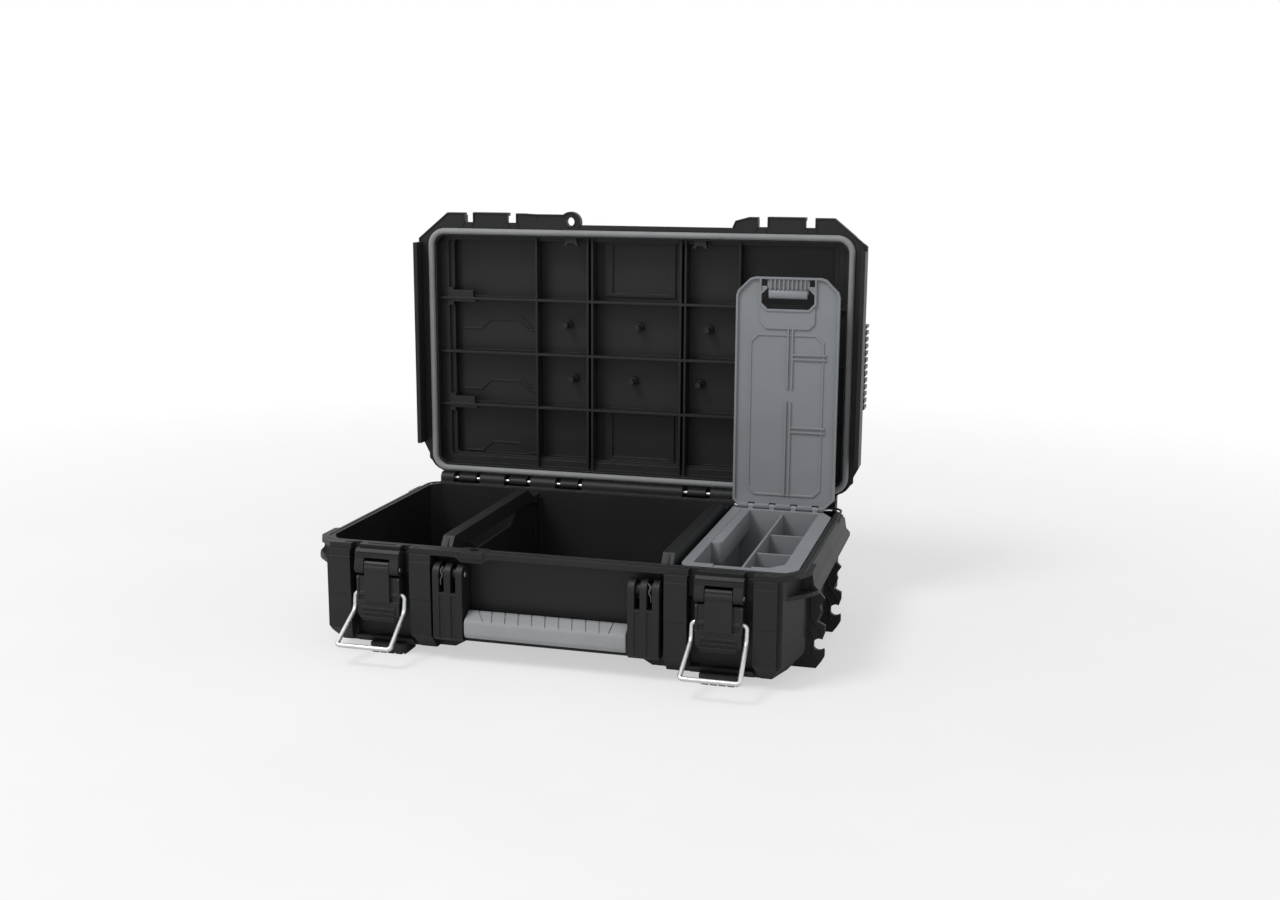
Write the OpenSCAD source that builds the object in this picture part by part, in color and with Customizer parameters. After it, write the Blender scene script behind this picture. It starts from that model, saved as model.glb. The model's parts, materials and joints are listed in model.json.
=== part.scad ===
// Hard tool case with a hinged lid, two draw latches, a folding handle and a parts organiser.
// Every piece is drawn from the hinge axis: X to the right, Y to the back, Z up from the rim's top.
// Lid pieces are drawn closed and then swung open.

/* [Case] */
// Outer width of the base's rim
rim_w = 545; // [535:1:560]
// Distance from the hinge axis to the rim's front edge
front_reach = 338; // [334:1:350]
// Height of the rim's top above the ground
base_h = 122; // [112:1:150]
// Thickness of the rim plate
rim_t = 7; // [6:0.5:8]
// Wall thickness of the base and the lid
wall = 4; // [3:0.5:5]
// Overhang of the rim beyond the base's side walls
rim_over = 10.5; // [9:0.5:13]
// Depth of the handle's bay behind the rim's front edge
bay_depth = 22; // [20:0.5:24]
// Height of the feet
foot_h = 10; // [6:0.5:14]

/* [Pillars and latches] */
// Distance from each end of the rim to the middle of the latch
latch_inset = 87.5; // [84:0.5:90]
// Width of each latch's bay
latch_bay_w = 68; // [66:0.5:72]
// Width of each front pillar
pillar_w = 24; // [20:0.5:26]
// Distance between the middles of a bail's legs
bail_w = 56.5; // [56:0.5:58]
// Diameter of the bail wire
wire_d = 5; // [4:0.25:5]
// Width of the latch lever across its side ribs
lever_w = 49; // [44:0.5:50]
// Width of the lever's neck
neck_w = 28; // [20:0.5:30]

/* [Lid] */
// Height of the lid's box above the rim
lid_h = 35; // [32:0.5:60]
// Height of the ribs on top of the lid
top_rib_h = 10; // [4:0.5:14]
// Thickness of the lid's flange
flange_t = 5; // [4:0.5:6]
// Width of the flange from the lid's box to the side edge
flange_w = 29.5; // [28:0.5:32]
// Angle of the lid when it stands open, in degrees
lid_open = 90; // [60:1:90]
// Width of the sealing bead
seal_w = 7.5; // [5:0.25:7.5]
// Depth of the lid's inner ribs
rib_h = 21; // [10:0.5:24]

/* [Hinge] */
// Diameter of the steel hinge rods
rod_d = 5; // [4:0.25:6]
// Radius of the base's hinge barrel
barrel_r = 7.5; // [7:0.1:7.6]
// Width of each window in the hinge wall
window_w = 35.3; // [30:0.5:38]
// Distance between the middles of neighbouring windows
window_pitch = 68.3; // [60:0.5:70]

/* [Handle] */
// Width of each handle arm
arm_w = 33; // [30:0.5:35]
// Length of the arms below the handle's pins
arm_len = 72; // [64:0.5:76]
// Diameter of the handle's pins
handle_pin_d = 6; // [4:0.25:7]
// Gap between the grip and each arm
grip_gap = 1.7; // [1.2:0.1:12]
// Number of grooves across the grip
groove_count = 11; // [0:1:14]

/* [Organiser] */
// Width of the organiser's lid
organiser_w = 121.2; // [110:0.5:121.5]
// Thickness of the tray's walls
tray_wall = 2.5; // [1.5:0.25:3.5]
// Thickness of the organiser's lid across its rim
organiser_t = 5.4; // [5:0.1:5.6]
// Width of each divider wall's top
divider_w = 13; // [8:0.5:15]

/* [Hidden] */
$fn = 48;
eps = 0.01;
run_gap = 0.08;
seat_gap = 0.02;
black = "#2a2b2d";
soft_black = "#333437";
grey = "#84868a";
pale_grey = "#b4b5b6";
steel = "#c3c6c9";

// Base
rim_x = rim_w / 2;
body_x = rim_x - rim_over;
latch_x = rim_x - latch_inset;
cavity_x = body_x - wall;
body_z = -(base_h - foot_h);
floor_z = body_z + wall;
panel_y = -(front_reach - bay_depth);
cavity_front = panel_y + wall;
lift_x = 97;
lift_h = 7;
lift_d = 45;
lift_slope = 14;
lift_end = panel_y + lift_d + wall;
cavity_back = -20;
back_y = cavity_back + wall;
pillar_y = -(front_reach + 2);
latch_wall_y = panel_y - 4;
bay_half = latch_bay_w / 2;
inner_pillar_x = latch_x - bay_half - pillar_w;
outer_pillar_x = latch_x + bay_half + pillar_w;
corner_cut = 12;
under_h = 17;
under_d = 15;
pillar_facet = [7, 20];
facet_x = 14;
facet_y = pillar_y + 50;
groove_d = 4;
ridge_x = rim_x - 6;
ear_y = -front_reach + 38;
ear_l = 30;
back_ear_y = 46;
skirt_t = 3;
skirt_h = 28;
ledge_out = 4.5;
tongue_w = 2.5;
tongue_h = 0.6;
seat_z = -4;
lip_w = 11;
lip_z = -0.5;
hinge_wall_x = rim_x - 18.5;
hinge_wall_back = 9;
hinge_wall_top = barrel_r;
window_back = 6.3;
window_floor = -6.5;
window_first = hinge_wall_x - 171.7;
rod_r = rod_d / 2;
rod_x0 = window_first - 24.3;
rod_x1 = hinge_wall_x - 4;
hook_ys = [-135, -260];
hook_t = 5;
hook_x = body_x + 18.5;
hook_low = body_z - 6;
notch_z = -92;
notch_r = 6.5;
foot_x = latch_x - 2.5;
foot_w = 41;
foot_l = 32;
padlock = [-(latch_x - 104), -(front_reach - 10)];
padlock_r = 5.2;
plate_z = [-56, -15];
eye_r = 13;

// Seal line, shared by the base's tongue and the lid's groove
seal_x = rim_x - 9;
seal_front = -(front_reach - 23.9);
seal_back = -12.6;
seal_r = 18;
seal_h = 6.8;
seal_z = seat_z + tongue_h + 0.3;

// Lid
flange_z = 1.5;
flange_top = flange_z + flange_t;
lid_x = rim_x + 8;
wing_t = 5;
wing_h = 18;
dome_x = lid_x - flange_w;
dome_front = -(front_reach - 31);
dome_back = -23;
lid_front = -(front_reach - 14);
tab_y = -(front_reach - 1);
centre_tab_y = -(front_reach - 0.5);
lid_back = -8.2;
lid_floor = lid_h - wall;
dome_l = dome_back - dome_front;
rib_xs = [0.223 * dome_x, 0.223 * dome_x + 6, 0.512 * dome_x];
rib_ys = [for (f = [0.252, 0.49, 0.729]) dome_back - f * dome_l];
groove_w = seal_w + 0.4;
groove_top = seal_z + seal_h;
mouth_gap = groove_w / 2 + 2;
mouth_h = 16;
step_in = 6;
emboss_h = 1.4;
step_h = 11;
channel_top = max(groove_top + 2.2, flange_top + 1);
knuckle_r = 5.6;
knuckle_w = window_w - 12.3;
notch_w = 11;
notch_x0 = bail_w / 2 - notch_w / 2;
notch_x1 = bail_w / 2 + notch_w / 2;
lip_h = 6;
pad_y = [-0.624 * front_reach, -0.3255 * front_reach];
pad_pitch = (pad_y[1] - pad_y[0]) / 12.3;
inlay_ys = [[pad_y[0] - 40, pad_y[0] - 1], [pad_y[1] + 1, pad_y[1] + 43]];
pad_x = lid_x;
inlay_x = lid_x - 5;
pad_z0 = lid_h - 13;
pad_z1 = lid_h + top_rib_h;

// Latch
lever_pin = [-(front_reach + 4.6), -24.6];
lever_pin_r = 3;
neck_t = 5.2;
ear_r = 6.5;
bracket_w = 50;
hood_z = -13.2;
bracket_low = -30;
bail_pivot = [-(front_reach + 2), -53.2];
wire_r = wire_d / 2;
crossbar_shut = [-(front_reach - 8.5), flange_top + wire_r + 0.6];
bail_reach = norm(crossbar_shut - bail_pivot);
bail_rest = 45.4;
bail_bar = bail_pivot - bail_reach * [cos(bail_rest), sin(bail_rest)];
bail_bend = bail_pivot + [-2.5, -18];
stub_in = 10;
lever_top = -33.5;
lever_mid = -62.6;
lever_tip = -82;
screw_dx = 20;
screw_z = -20;
screw_r = 2;
screw_head_r = 4;
screw_head_h = 2.3;

// Handle
handle_pin = [-(front_reach - 5), -26];
handle_pin_r = handle_pin_d / 2;
arm_r = 11;
arm_x1 = inner_pillar_x - 4;
arm_x0 = arm_x1 - arm_w;
grip_w = 2 * (arm_x0 - grip_gap);
fin_w = (arm_w - 12) / 3;
slot_w = 6;
lug_w = 5;
lug_r = 6.2;
slot_z = handle_pin[1] - 19;
grip_low = handle_pin[1] - arm_len + 5;
grip_top = grip_low + 26.8;
grip_front = handle_pin[0] - arm_r - 1;
grip_bevel = [13, 8];
core_slope = [10, 11];
grip_back = handle_pin[0] + arm_r - 1;

// Organiser
org_axis = [-38, -1.6];
org_x1 = cavity_x - 1.8;
org_x0 = org_x1 - organiser_w;
org_xm = (org_x0 + org_x1) / 2;
org_front = cavity_front + 1.8;
org_top = org_axis[1] + organiser_t / 2;
org_low = org_axis[1] - organiser_t / 2;
org_plate = 2.4;
org_pin_r = 1.5;
org_cut = 17;
flap_pitch = 25.6;
flap_w = 8;
flap_cut = [12, 7];
window_half = 31;
window_gap = [13, 37];
comb_half = 23.5;
hook_bar = [13, 25];
tray_top = -4.7;
tray_flange = 3.5;
tray_floor = floor_z;
tray_x0 = org_x0 + 9;
tray_x1 = org_x1 - 14.2;
tray_y0 = org_front + 14;
tray_y1 = org_axis[0] - 6;
tray_split_x = org_xm + 1.3;
cell_wall = 2.4;
tray_corner = [17, 22];
tray_ease = [12, 18];
cross_ys = [for (f = [0.372, 0.693]) tray_y1 - f * (tray_y1 - tray_y0)];
flap_l = org_axis[0] - org_front;
divider_inset = 150.5;
divider_nose = 13;
divider_scoop = [23, 46];
divider_x = rim_x - divider_inset;
divider_top = 5;
divider_low_end = -8;

// Points of a half outline, mirrored to the other side
function both(p) = concat(p, [for (i = [len(p) - 1 : -1 : 0]) [-p[i][0], p[i][1]]]);

// Rectangle with cut corners
function cut_rect(x0, x1, y0, y1, c) = [[x0 + c, y0], [x1 - c, y0], [x1, y0 + c], [x1, y1 - c],
    [x1 - c, y1], [x0 + c, y1], [x0, y1 - c], [x0, y0 + c]];

// Rectangle with round corners, in short straight steps
function round_rect(x0, x1, y0, y1, r) = [
    for (c = [[x1 - r, y1 - r, 0], [x0 + r, y1 - r, 90], [x0 + r, y0 + r, 180], [x1 - r, y0 + r, 270]])
        for (a = [0 : 15 : 90]) [c[0] + r * cos(c[2] + a), c[1] + r * sin(c[2] + a)]];

module at_hinge() translate([0, front_reach / 2, base_h]) children();
module lid_swing() at_hinge() rotate([-lid_open, 0, 0]) children();
module organiser_swing() at_hinge() translate([0, org_axis[0], org_axis[1]]) rotate([-lid_open, 0, 0])
    translate([0, -org_axis[0], -org_axis[1]]) children();
module both_sides() {
    children();
    mirror([1, 0, 0]) children();
}

// A slab between two heights, from an outline in plan
module slab(points, z0, z1) translate([0, 0, z0]) linear_extrude(z1 - z0) polygon(points);

// A box between two corners
module block(a, b) translate(a) cube(b - a);

// A 2D side profile (Y, Z) stretched along X
module along_x(x0, x1) translate([x0, 0, 0]) rotate([90, 0, 90]) linear_extrude(x1 - x0) children();

// A 2D front profile (X, Z) stretched along Y
module along_y(y0, y1) translate([0, y1, 0]) rotate([90, 0, 0]) linear_extrude(y1 - y0) children();

// A round bar along X at a point of the side view
module bar_x(x0, x1, p, r) translate([x0, p[0], p[1]]) rotate([0, 90, 0]) cylinder(h = x1 - x0, r = r);

function body_half() = [[inner_pillar_x, panel_y], [inner_pillar_x, pillar_y],
    [inner_pillar_x + pillar_w, pillar_y], [inner_pillar_x + pillar_w, latch_wall_y],
    [latch_x + bay_half, latch_wall_y], [latch_x + bay_half, pillar_y], [outer_pillar_x, pillar_y],
    [outer_pillar_x, pillar_y + groove_d], [body_x - facet_x, pillar_y + groove_d], [body_x, facet_y],
    [body_x, back_y - corner_cut], [body_x - corner_cut, back_y]];

function rim_half() = [[outer_pillar_x, -front_reach], [body_x, -front_reach + 19],
    [rim_x - 1, ear_y], [rim_x - 1, ear_y + ear_l], [ridge_x, ear_y + ear_l + 3],
    [ridge_x, -back_ear_y - ear_l - 3], [rim_x - 4, -back_ear_y - ear_l], [rim_x - 4, -back_ear_y],
    [rim_x - 14, -28], [hinge_wall_x, -barrel_r]];

// Side profile of a stacking hook, with a row of short teeth above a round notch
function hook_outline() = [[body_x - wall / 2, -skirt_h + 1], [rim_x, -skirt_h + 1], [body_x + 12, -36],
    [body_x + 17.5, -42], [body_x + 12.4, -50], [body_x + 14.4, -55.5], [body_x + 10, -67],
    [hook_x, -71], [hook_x, -79], [hook_x - 2.5, notch_z + 5.4], [hook_x - 2.5, notch_z - 3],
    [hook_x - 0.8, notch_z - 4], [hook_x, notch_z - 6.5], [hook_x, notch_z - 13],
    [hook_x - 3, notch_z - 18.5], [hook_x - 8.5, hook_low], [body_x - under_d - 1, hook_low],
    [body_x - under_d - 1, body_z + 1], [body_x - wall / 2, body_z + under_h + 3]];

module base_body() {
    intersection() {
        union() {
            slab(both(body_half()), body_z, -rim_t + eps);
            both_sides() block([inner_pillar_x + 1, latch_wall_y - 14, body_z],
                [outer_pillar_x - 1, latch_wall_y + 1, body_z + 8]);
        }
        along_x(-rim_x, rim_x) polygon([[pillar_y, body_z + under_h], [pillar_y + under_d, body_z],
            [back_y - 8, body_z], [back_y, body_z + 8], [back_y, 0], [pillar_y, 0]]);
        along_y(pillar_y, back_y) polygon(both([[body_x - under_d, body_z], [body_x, body_z + under_h],
            [body_x, 0]]));
    }
}

// Slanted cut under the facet at each front corner, moved inward by a wall's thickness for the cavity
module facet_undercut(inward) both_sides() translate([body_x, facet_y, body_z])
    rotate([0, 0, atan2(pillar_y + groove_d - facet_y, -facet_x) + 180]) translate([-64, inward, 0])
        rotate([90, 0, 90]) linear_extrude(80) polygon([[-40, -1],
            [(under_d - 1) * (1 + 1 / under_h), -1], [-40, under_h * (1 + 40 / (under_d - 1))]]);

// Slanted lower corner of each front pillar, on the side of the latch's bay
module pillar_facets() both_sides() for (s = [0, 1]) translate([latch_x, 0, body_z]) mirror([s, 0, 0])
    along_y(pillar_y - 1, latch_wall_y - 4) polygon([[bay_half - 1, -1], [bay_half + pillar_facet[0], -1],
        [bay_half - 1, pillar_facet[1]]]);

// The room inside the base, with slanted lower edges like the outside
function cavity_half() = [[cavity_x - 15, cavity_front], [cavity_x - 6, cavity_front + 6],
    [cavity_x, cavity_front + 18], [cavity_x, cavity_back - corner_cut],
    [cavity_x - corner_cut, cavity_back]];

module base_cavity() difference() {
    intersection() {
        slab(both(cavity_half()), floor_z, barrel_r + 1);
        along_y(cavity_front - 1, cavity_back + 1) polygon(both([[cavity_x - under_d, floor_z - eps],
            [cavity_x, floor_z + under_h], [cavity_x, barrel_r + 2]]));
    }
    facet_undercut(wall * 1.3);
}

// Lower ledge at each front corner, which leaves a pocket open under the rim
module corner_ledge() both_sides()
    slab([[outer_pillar_x + 4, pillar_y + 8], [body_x + 5, ear_y - 12], [rim_x, ear_y - 4],
        [rim_x + ledge_out, ear_y + 6], [rim_x + ledge_out, ear_y + 10], [body_x - 4, ear_y + 12],
        [outer_pillar_x + 4, ear_y - 8]], -skirt_h, -skirt_h + 4);

// Raised lip along the rim's front, outside the seal's seat
module front_lip() intersection() {
    slab(both(rim_half()), -rim_t, lip_z);
    slab(both([[body_x + 2, -front_reach - 1], [body_x + 2, -front_reach + 17],
        [outer_pillar_x + 2, -front_reach + lip_w]]), -rim_t - 1, lip_z + 1);
}

module base_skirt() {
    both_sides() {
        along_y(ear_y + 6, -back_ear_y) polygon([[ridge_x - 4, seat_z - 0.5],
            [ridge_x, seat_z - 0.5], [rim_x - 2, -rim_t],
            [rim_x, -skirt_h + 9], [rim_x + ledge_out, -skirt_h + 4], [rim_x + ledge_out, -skirt_h],
            [rim_x - skirt_t, -skirt_h], [rim_x - skirt_t - 1, -rim_t - 2], [ridge_x - 4, -rim_t + eps]]);
        for (y = [ear_y + 7 : 27 : -back_ear_y - 4])
            block([body_x - 1, y, -skirt_h + 4], [rim_x - skirt_t + 1, y + 2.5, -rim_t + eps]);
    }
}

module hinge_wall() {
    along_x(-hinge_wall_x, hinge_wall_x) {
        circle(r = barrel_r);
        translate([-barrel_r, cavity_back]) square([barrel_r + hinge_wall_back, -cavity_back]);
        square([hinge_wall_back, hinge_wall_top]);
    }
}

module hinge_windows() {
    both_sides() for (i = [0 : 2])
        block([window_first + i * window_pitch - window_w / 2, -barrel_r - 1, window_floor],
            [window_first + i * window_pitch + window_w / 2, window_back, barrel_r + 1]);
}

module divider_guides() {
    both_sides() for (s = [-1, 1], y = [cavity_front - 1, cavity_back - 5])
        block([divider_x + s * (divider_w / 2 + 1.6) - 1.2, y, floor_z - 1],
            [divider_x + s * (divider_w / 2 + 1.6) + 1.2, y + 6, divider_low_end - 4]);
}

module handle_lugs() {
    both_sides() for (i = [0, 1])
        along_x(arm_x0 + fin_w + i * (fin_w + slot_w) + (slot_w - lug_w) / 2,
            arm_x0 + fin_w + i * (fin_w + slot_w) + (slot_w + lug_w) / 2) {
            translate(handle_pin) circle(r = lug_r);
            translate([handle_pin[0], handle_pin[1] - lug_r - 4])
                square([panel_y - handle_pin[0] + 1, 2 * lug_r + 2]);
        }
}

module stacking_hook(y) difference() {
    union() {
        along_y(y - hook_t / 2, y + hook_t / 2) polygon(hook_outline());
        along_y(y + hook_t / 2 - eps, y + hook_t / 2 + 9)
            polygon([[body_x - wall / 2, -skirt_h + 1], [body_x + 6, -skirt_h + 1],
                [body_x + 6, notch_z - 8], [body_x - wall / 2, notch_z - 16]]);
    }
    translate([body_x + 13, y - 20, notch_z]) rotate([-90, 0, 0]) cylinder(h = 40, r = notch_r);
}

module base_shell() color(black) at_hinge() {
    difference() {
        union() {
            difference() {
                base_body();
                facet_undercut(0);
                pillar_facets();
                along_y(panel_y - 1, panel_y + lift_d) polygon(both([[lift_x, body_z + lift_h],
                    [lift_x + lift_slope, body_z - 1]]));
            }
            slab(both(rim_half()), -rim_t, seat_z);
            front_lip();
            both_sides() for (x = [inner_pillar_x, latch_x + bay_half])
                block([x, pillar_y - 0.7, plate_z[0]], [x + pillar_w, pillar_y + 1, plate_z[1]]);
            slab(cut_rect(padlock[0] - 15, padlock[0] + 15, -front_reach - 3, -front_reach + 17, 2.5),
                -rim_t, 0);
            translate([padlock[0], 0, 0]) along_y(-front_reach - 0.6, -front_reach + 3)
                polygon([[-19, -rim_t + 1], [19, -rim_t + 1], [12, -rim_t - 5], [-12, -rim_t - 5]]);
            base_skirt();
            hinge_wall();
            handle_lugs();
            both_sides() for (s = [0, 1]) translate([latch_x, 0, 0]) mirror([s, 0, 0])
                block([bracket_w / 2 + 0.25, latch_wall_y - 9, -30],
                    [bay_half + 1, latch_wall_y + 1, -rim_t + eps]);
            both_sides() for (y = hook_ys) stacking_hook(y);
            corner_ledge();
            difference() {
                slab(round_rect(-seal_x - tongue_w / 2, seal_x + tongue_w / 2,
                    seal_front - tongue_w / 2, seal_back + tongue_w / 2, seal_r),
                    seat_z - 1, seat_z + tongue_h);
                slab(round_rect(-seal_x + tongue_w / 2, seal_x - tongue_w / 2,
                    seal_front + tongue_w / 2, seal_back - tongue_w / 2, seal_r - tongue_w),
                    seat_z - 2, seat_z + tongue_h + 1);
            }
        }
        difference() {
            union() {
                base_cavity();
                both_sides() for (x = [inner_pillar_x, latch_x + bay_half])
                    block([x + wall, pillar_y + wall, body_z + under_h + wall],
                        [x + pillar_w - wall, cavity_front + 1, -rim_t - 1]);
            }
            divider_guides();
            block([-lift_x - lift_slope + 1.5, cavity_front - 1, floor_z - 1],
                [lift_x + lift_slope - 1.5, lift_end, floor_z + lift_h]);
        }
        hinge_windows();
        both_sides() bar_x(rod_x0 - 1, hinge_wall_x + 1, [0, 0], rod_r + seat_gap);
        both_sides() bar_x(arm_x0 - 1, arm_x1 + 1, handle_pin, handle_pin_r + seat_gap);
        both_sides() for (s = [-1, 1])
            block([latch_x + s * bail_w / 2 - notch_w / 2 + 0.5, -front_reach - 1, -rim_t - 1],
                [latch_x + s * bail_w / 2 + notch_w / 2 - 0.5, -front_reach + 10, 1]);
        both_sides() for (s = [-1, 1])
            translate([latch_x + s * screw_dx, 0, screw_z]) rotate([90, 0, 0]) {
                translate([0, 0, -cavity_front - 1]) cylinder(h = bay_depth, r = screw_r + 0.1);
                translate([0, 0, -cavity_front - 1])
                    cylinder(h = screw_head_h + 1.2, r = screw_head_r + 0.2);
            }
        translate([padlock[0], padlock[1], -rim_t - 1]) cylinder(h = rim_t + 2, r = padlock_r);
    }
}

module hinge_rods() color(steel) at_hinge() both_sides() bar_x(rod_x0, rod_x1, [0, 0], rod_r);

module foot_pads() color(soft_black) at_hinge() both_sides()
    for (y = [panel_y - 16, back_y - foot_l - 12])
        difference() {
            slab(cut_rect(foot_x - foot_w / 2, foot_x + foot_w / 2, y, y + foot_l, 3), -base_h, body_z);
            for (i = [-2 : 2]) block([foot_x + i * 9 - 1, y - 1, -base_h - 1],
                [foot_x + i * 9 + 1, y + foot_l + 1, -base_h + 1.5]);
        }

function lid_half() = [[latch_x - 65, lid_front], [latch_x - 61, tab_y + 5.4],
    [latch_x - 45.5, tab_y], [latch_x + 56.5, tab_y], [lid_x, tab_y + 32], [lid_x, -46],
    [lid_x - 8, -30], [lid_x - 8, -23.6], [lid_x - 25.5, lid_back]];

// Outline of the lid's wide mouth just inside the seal, grown by a margin
function mouth(m) = cut_rect(-seal_x + mouth_gap - m, seal_x - mouth_gap + m,
    seal_front + mouth_gap - m, seal_back - mouth_gap + m, 8);

// Outline of the room inside the lid's dome, drawn in by a margin at its ends and back
function dome_room(m) = cut_rect(-dome_x + wall + m, dome_x - wall - m, dome_front + wall,
    dome_back - wall - m / 2, 3);

// Raised lip along the outer edge of each front tab and end of the flange
module lid_edge_lip() difference() {
    slab(lid_half(), flange_z, flange_top + 3);
    slab([for (p = lid_half()) [p[0] - (p[0] > latch_x + 50 ? 3 : 0), p[1] + (p[1] < -200 ? 3 : -3)]],
        flange_z - 1, flange_top + 4);
    block([-10, -front_reach - 10, flange_z - 1], [latch_x - 64, 10, flange_top + 4]);
    block([-10, lid_front + 8, flange_z - 1], [lid_x - 4, 10, flange_top + 4]);
}

module lid_flange() {
    difference() {
        union() {
            slab(both(lid_half()), flange_z, flange_top);
            slab([[-latch_x + 64, lid_front + 1], [-latch_x + 61, tab_y + 0.6],
                [padlock[0] + 4, tab_y + 0.6],
                [padlock[0] + 10, lid_front + 1]], flange_z, flange_top);
            slab(round_rect(-seal_x - groove_w, seal_x + groove_w, seal_front - groove_w,
                lid_back, seal_r + 4), flange_z, channel_top);
            translate([padlock[0], padlock[1] + 1, flange_z])
                cylinder(h = flange_top + 3 - flange_z, r = eye_r);
            both_sides() lid_edge_lip();
            both_sides() for (s = [0, 1]) translate([latch_x, 0, 0]) mirror([s, 0, 0]) {
                block([notch_x1 + 0.4, tab_y + 3, flange_top - 1],
                    [notch_x1 + 2.4, lid_front + 14, flange_top + 7]);
                block([notch_x0 - 3, lid_front, flange_top - 1],
                    [notch_x0 - 1, lid_front + 14, flange_top + 7]);
            }
            both_sides() block([lid_x - wing_t, -front_reach + 38, -wing_h], [lid_x, -46, flange_z + 1]);
            both_sides() block([latch_x - bail_w / 2 + notch_w / 2, centre_tab_y, flange_z],
                [latch_x + bail_w / 2 - notch_w / 2, centre_tab_y + 4, flange_top + lip_h]);
        }
        both_sides() for (s = [-1, 1])
            block([latch_x + s * bail_w / 2 - notch_w / 2, tab_y - 1, flange_z - 1],
                [latch_x + s * bail_w / 2 + notch_w / 2, -front_reach + 12.5, flange_top + 4]);
        both_sides() block([latch_x - bail_w / 2, tab_y - 1, flange_z - 1],
            [latch_x + bail_w / 2, centre_tab_y, flange_top + 4]);
        translate([padlock[0], padlock[1], 0]) cylinder(h = flange_top + 4, r = padlock_r);
    }
}

module lid_inner_ribs() {
    both_sides() for (x = rib_xs)
        block([x - 1.25, dome_front + 1, lid_floor - rib_h], [x + 1.25, dome_back - 1, lid_floor + 1]);
    for (y = rib_ys)
        block([-dome_x + 1, y - 1.5, lid_floor - rib_h], [dome_x - 1, y + 1.5, lid_floor + 1]);
    for (p = [[-0.37, 1], [0, 1], [0.35, 1], [-0.34, 0], [-0.03, 0], [0.31, 0]])
        translate([p[0] * dome_x, rib_ys[p[1]] - 0.13 * dome_l, lid_floor - rib_h + 4]) {
            cylinder(h = rib_h - 3, r = 3.6);
            translate([0, 0, rib_h - 9]) cylinder(h = 6, r = 5.6);
        }
}

// Ends of the ribs, out to the wider walls near the lid's mouth
module lid_rib_ends() {
    for (y = rib_ys)
        block([-seal_x + mouth_gap - 1, y - 1.5, lid_floor - rib_h],
            [seal_x - mouth_gap + 1, y + 1.5, mouth_h + 1]);
    both_sides() for (x = rib_xs)
        block([x - 1.25, seal_front + mouth_gap - 1, lid_floor - rib_h],
            [x + 1.25, seal_back - mouth_gap + 1, mouth_h + 1]);
}

// Stepped brackets on the left end of the first and third ribs
module lid_brackets() for (y = [rib_ys[0], rib_ys[2]]) {
    block([-dome_x + 9, y - 10, lid_floor - rib_h + 1], [-dome_x + 38, y, lid_floor - rib_h + 9]);
    block([-dome_x + wall - 1, y - 13, lid_floor - rib_h + 3], [-dome_x + 11, y, lid_floor + 1]);
    block([-dome_x + 9, y, lid_floor - rib_h + 1], [-dome_x + 41, y + 4.5, lid_floor - rib_h + 9]);
    block([-dome_x + wall - 1, y, lid_floor - rib_h + 3], [-dome_x + 11, y + 9, lid_floor + 1]);
}

// Embossed outlines on the lid's floor, seen between the ribs
module lid_embossing() {
    for (p = [[rib_ys[2], 27], [rib_ys[1], 37], [rib_ys[0], 50]])
        translate([-dome_x, p[0] + p[1], lid_floor - emboss_h]) {
            block([54, 0, 0], [92, 1.6, emboss_h + 1]);
            block([17, 12, 0], [43, 13.6, emboss_h + 1]);
            block([107, 12, 0], [121, 13.6, emboss_h + 1]);
            translate([55.4, 0.6, 0]) rotate([0, 0, 138]) block([0, 0, 0], [18, 1.6, emboss_h + 1]);
            translate([91, 0, 0]) rotate([0, 0, 38]) block([0, 0, 0], [20, 1.6, emboss_h + 1]);
            translate([95, -4, 0]) rotate([0, 0, 42]) block([0, 0, 0], [21, 1.6, emboss_h + 1]);
        }
    for (y = [[dome_front + wall - 1, rib_ys[2] - 6], [rib_ys[0] + 1, dome_back - wall + 1]])
        difference() {
            block([-45, y[0], lid_floor - 2.5], [45, y[1], lid_floor + 1]);
            block([-35, y[0] + 5, lid_floor - 3],
                [37, y[1] - (y[0] < rib_ys[2] ? 4 : 8), lid_floor + 0.2]);
        }
}

module lid_top_ribs() {
    difference() {
        slab(cut_rect(-dome_x, dome_x, dome_front, dome_back, 10), lid_h - 1, lid_h + top_rib_h);
        slab(cut_rect(-dome_x + 3, dome_x - 3, dome_front + 3, dome_back - 3, 8),
            lid_h - 2, lid_h + top_rib_h + 1);
    }
    difference() {
        slab(cut_rect(-dome_x + 40, dome_x - 40, dome_front + 40, dome_back - 40, 22),
            lid_h - 1, lid_h + top_rib_h);
        slab(cut_rect(-dome_x + 43, dome_x - 43, dome_front + 43, dome_back - 43, 20),
            lid_h - 2, lid_h + top_rib_h + 1);
    }
    both_sides() for (x = [52, 104, 156])
        for (y = [[dome_front + 1, dome_front + 42], [dome_back - 42, dome_back - 1]])
            block([x, y[0], lid_h - 1], [x + 2.5, y[1], lid_h + top_rib_h - 2]);
    both_sides() for (y = [-110, -165, -220])
        block([dome_x - 42, y, lid_h - 1], [dome_x - 1, y + 2.5, lid_h + top_rib_h - 2]);
}

module lid_gussets() {
    both_sides() for (i = [0 : 8])
        along_y(-62 - i * 28, -59.5 - i * 28)
            polygon([[seal_x - mouth_gap + 1, flange_top - 1], [lid_x - 3, flange_top - 1],
                [lid_x - 3, flange_top + 2], [seal_x - mouth_gap + 1, mouth_h + wall - 2]]);
    for (x = [-230 : 46 : 230])
        along_x(x - 1.25, x + 1.25)
            polygon([[seal_front + mouth_gap - 1, flange_top - 1], [lid_front + 2, flange_top - 1],
                [lid_front + 2, flange_top + 2], [seal_front + mouth_gap - 1, mouth_h + wall - 2]]);
}

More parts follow.
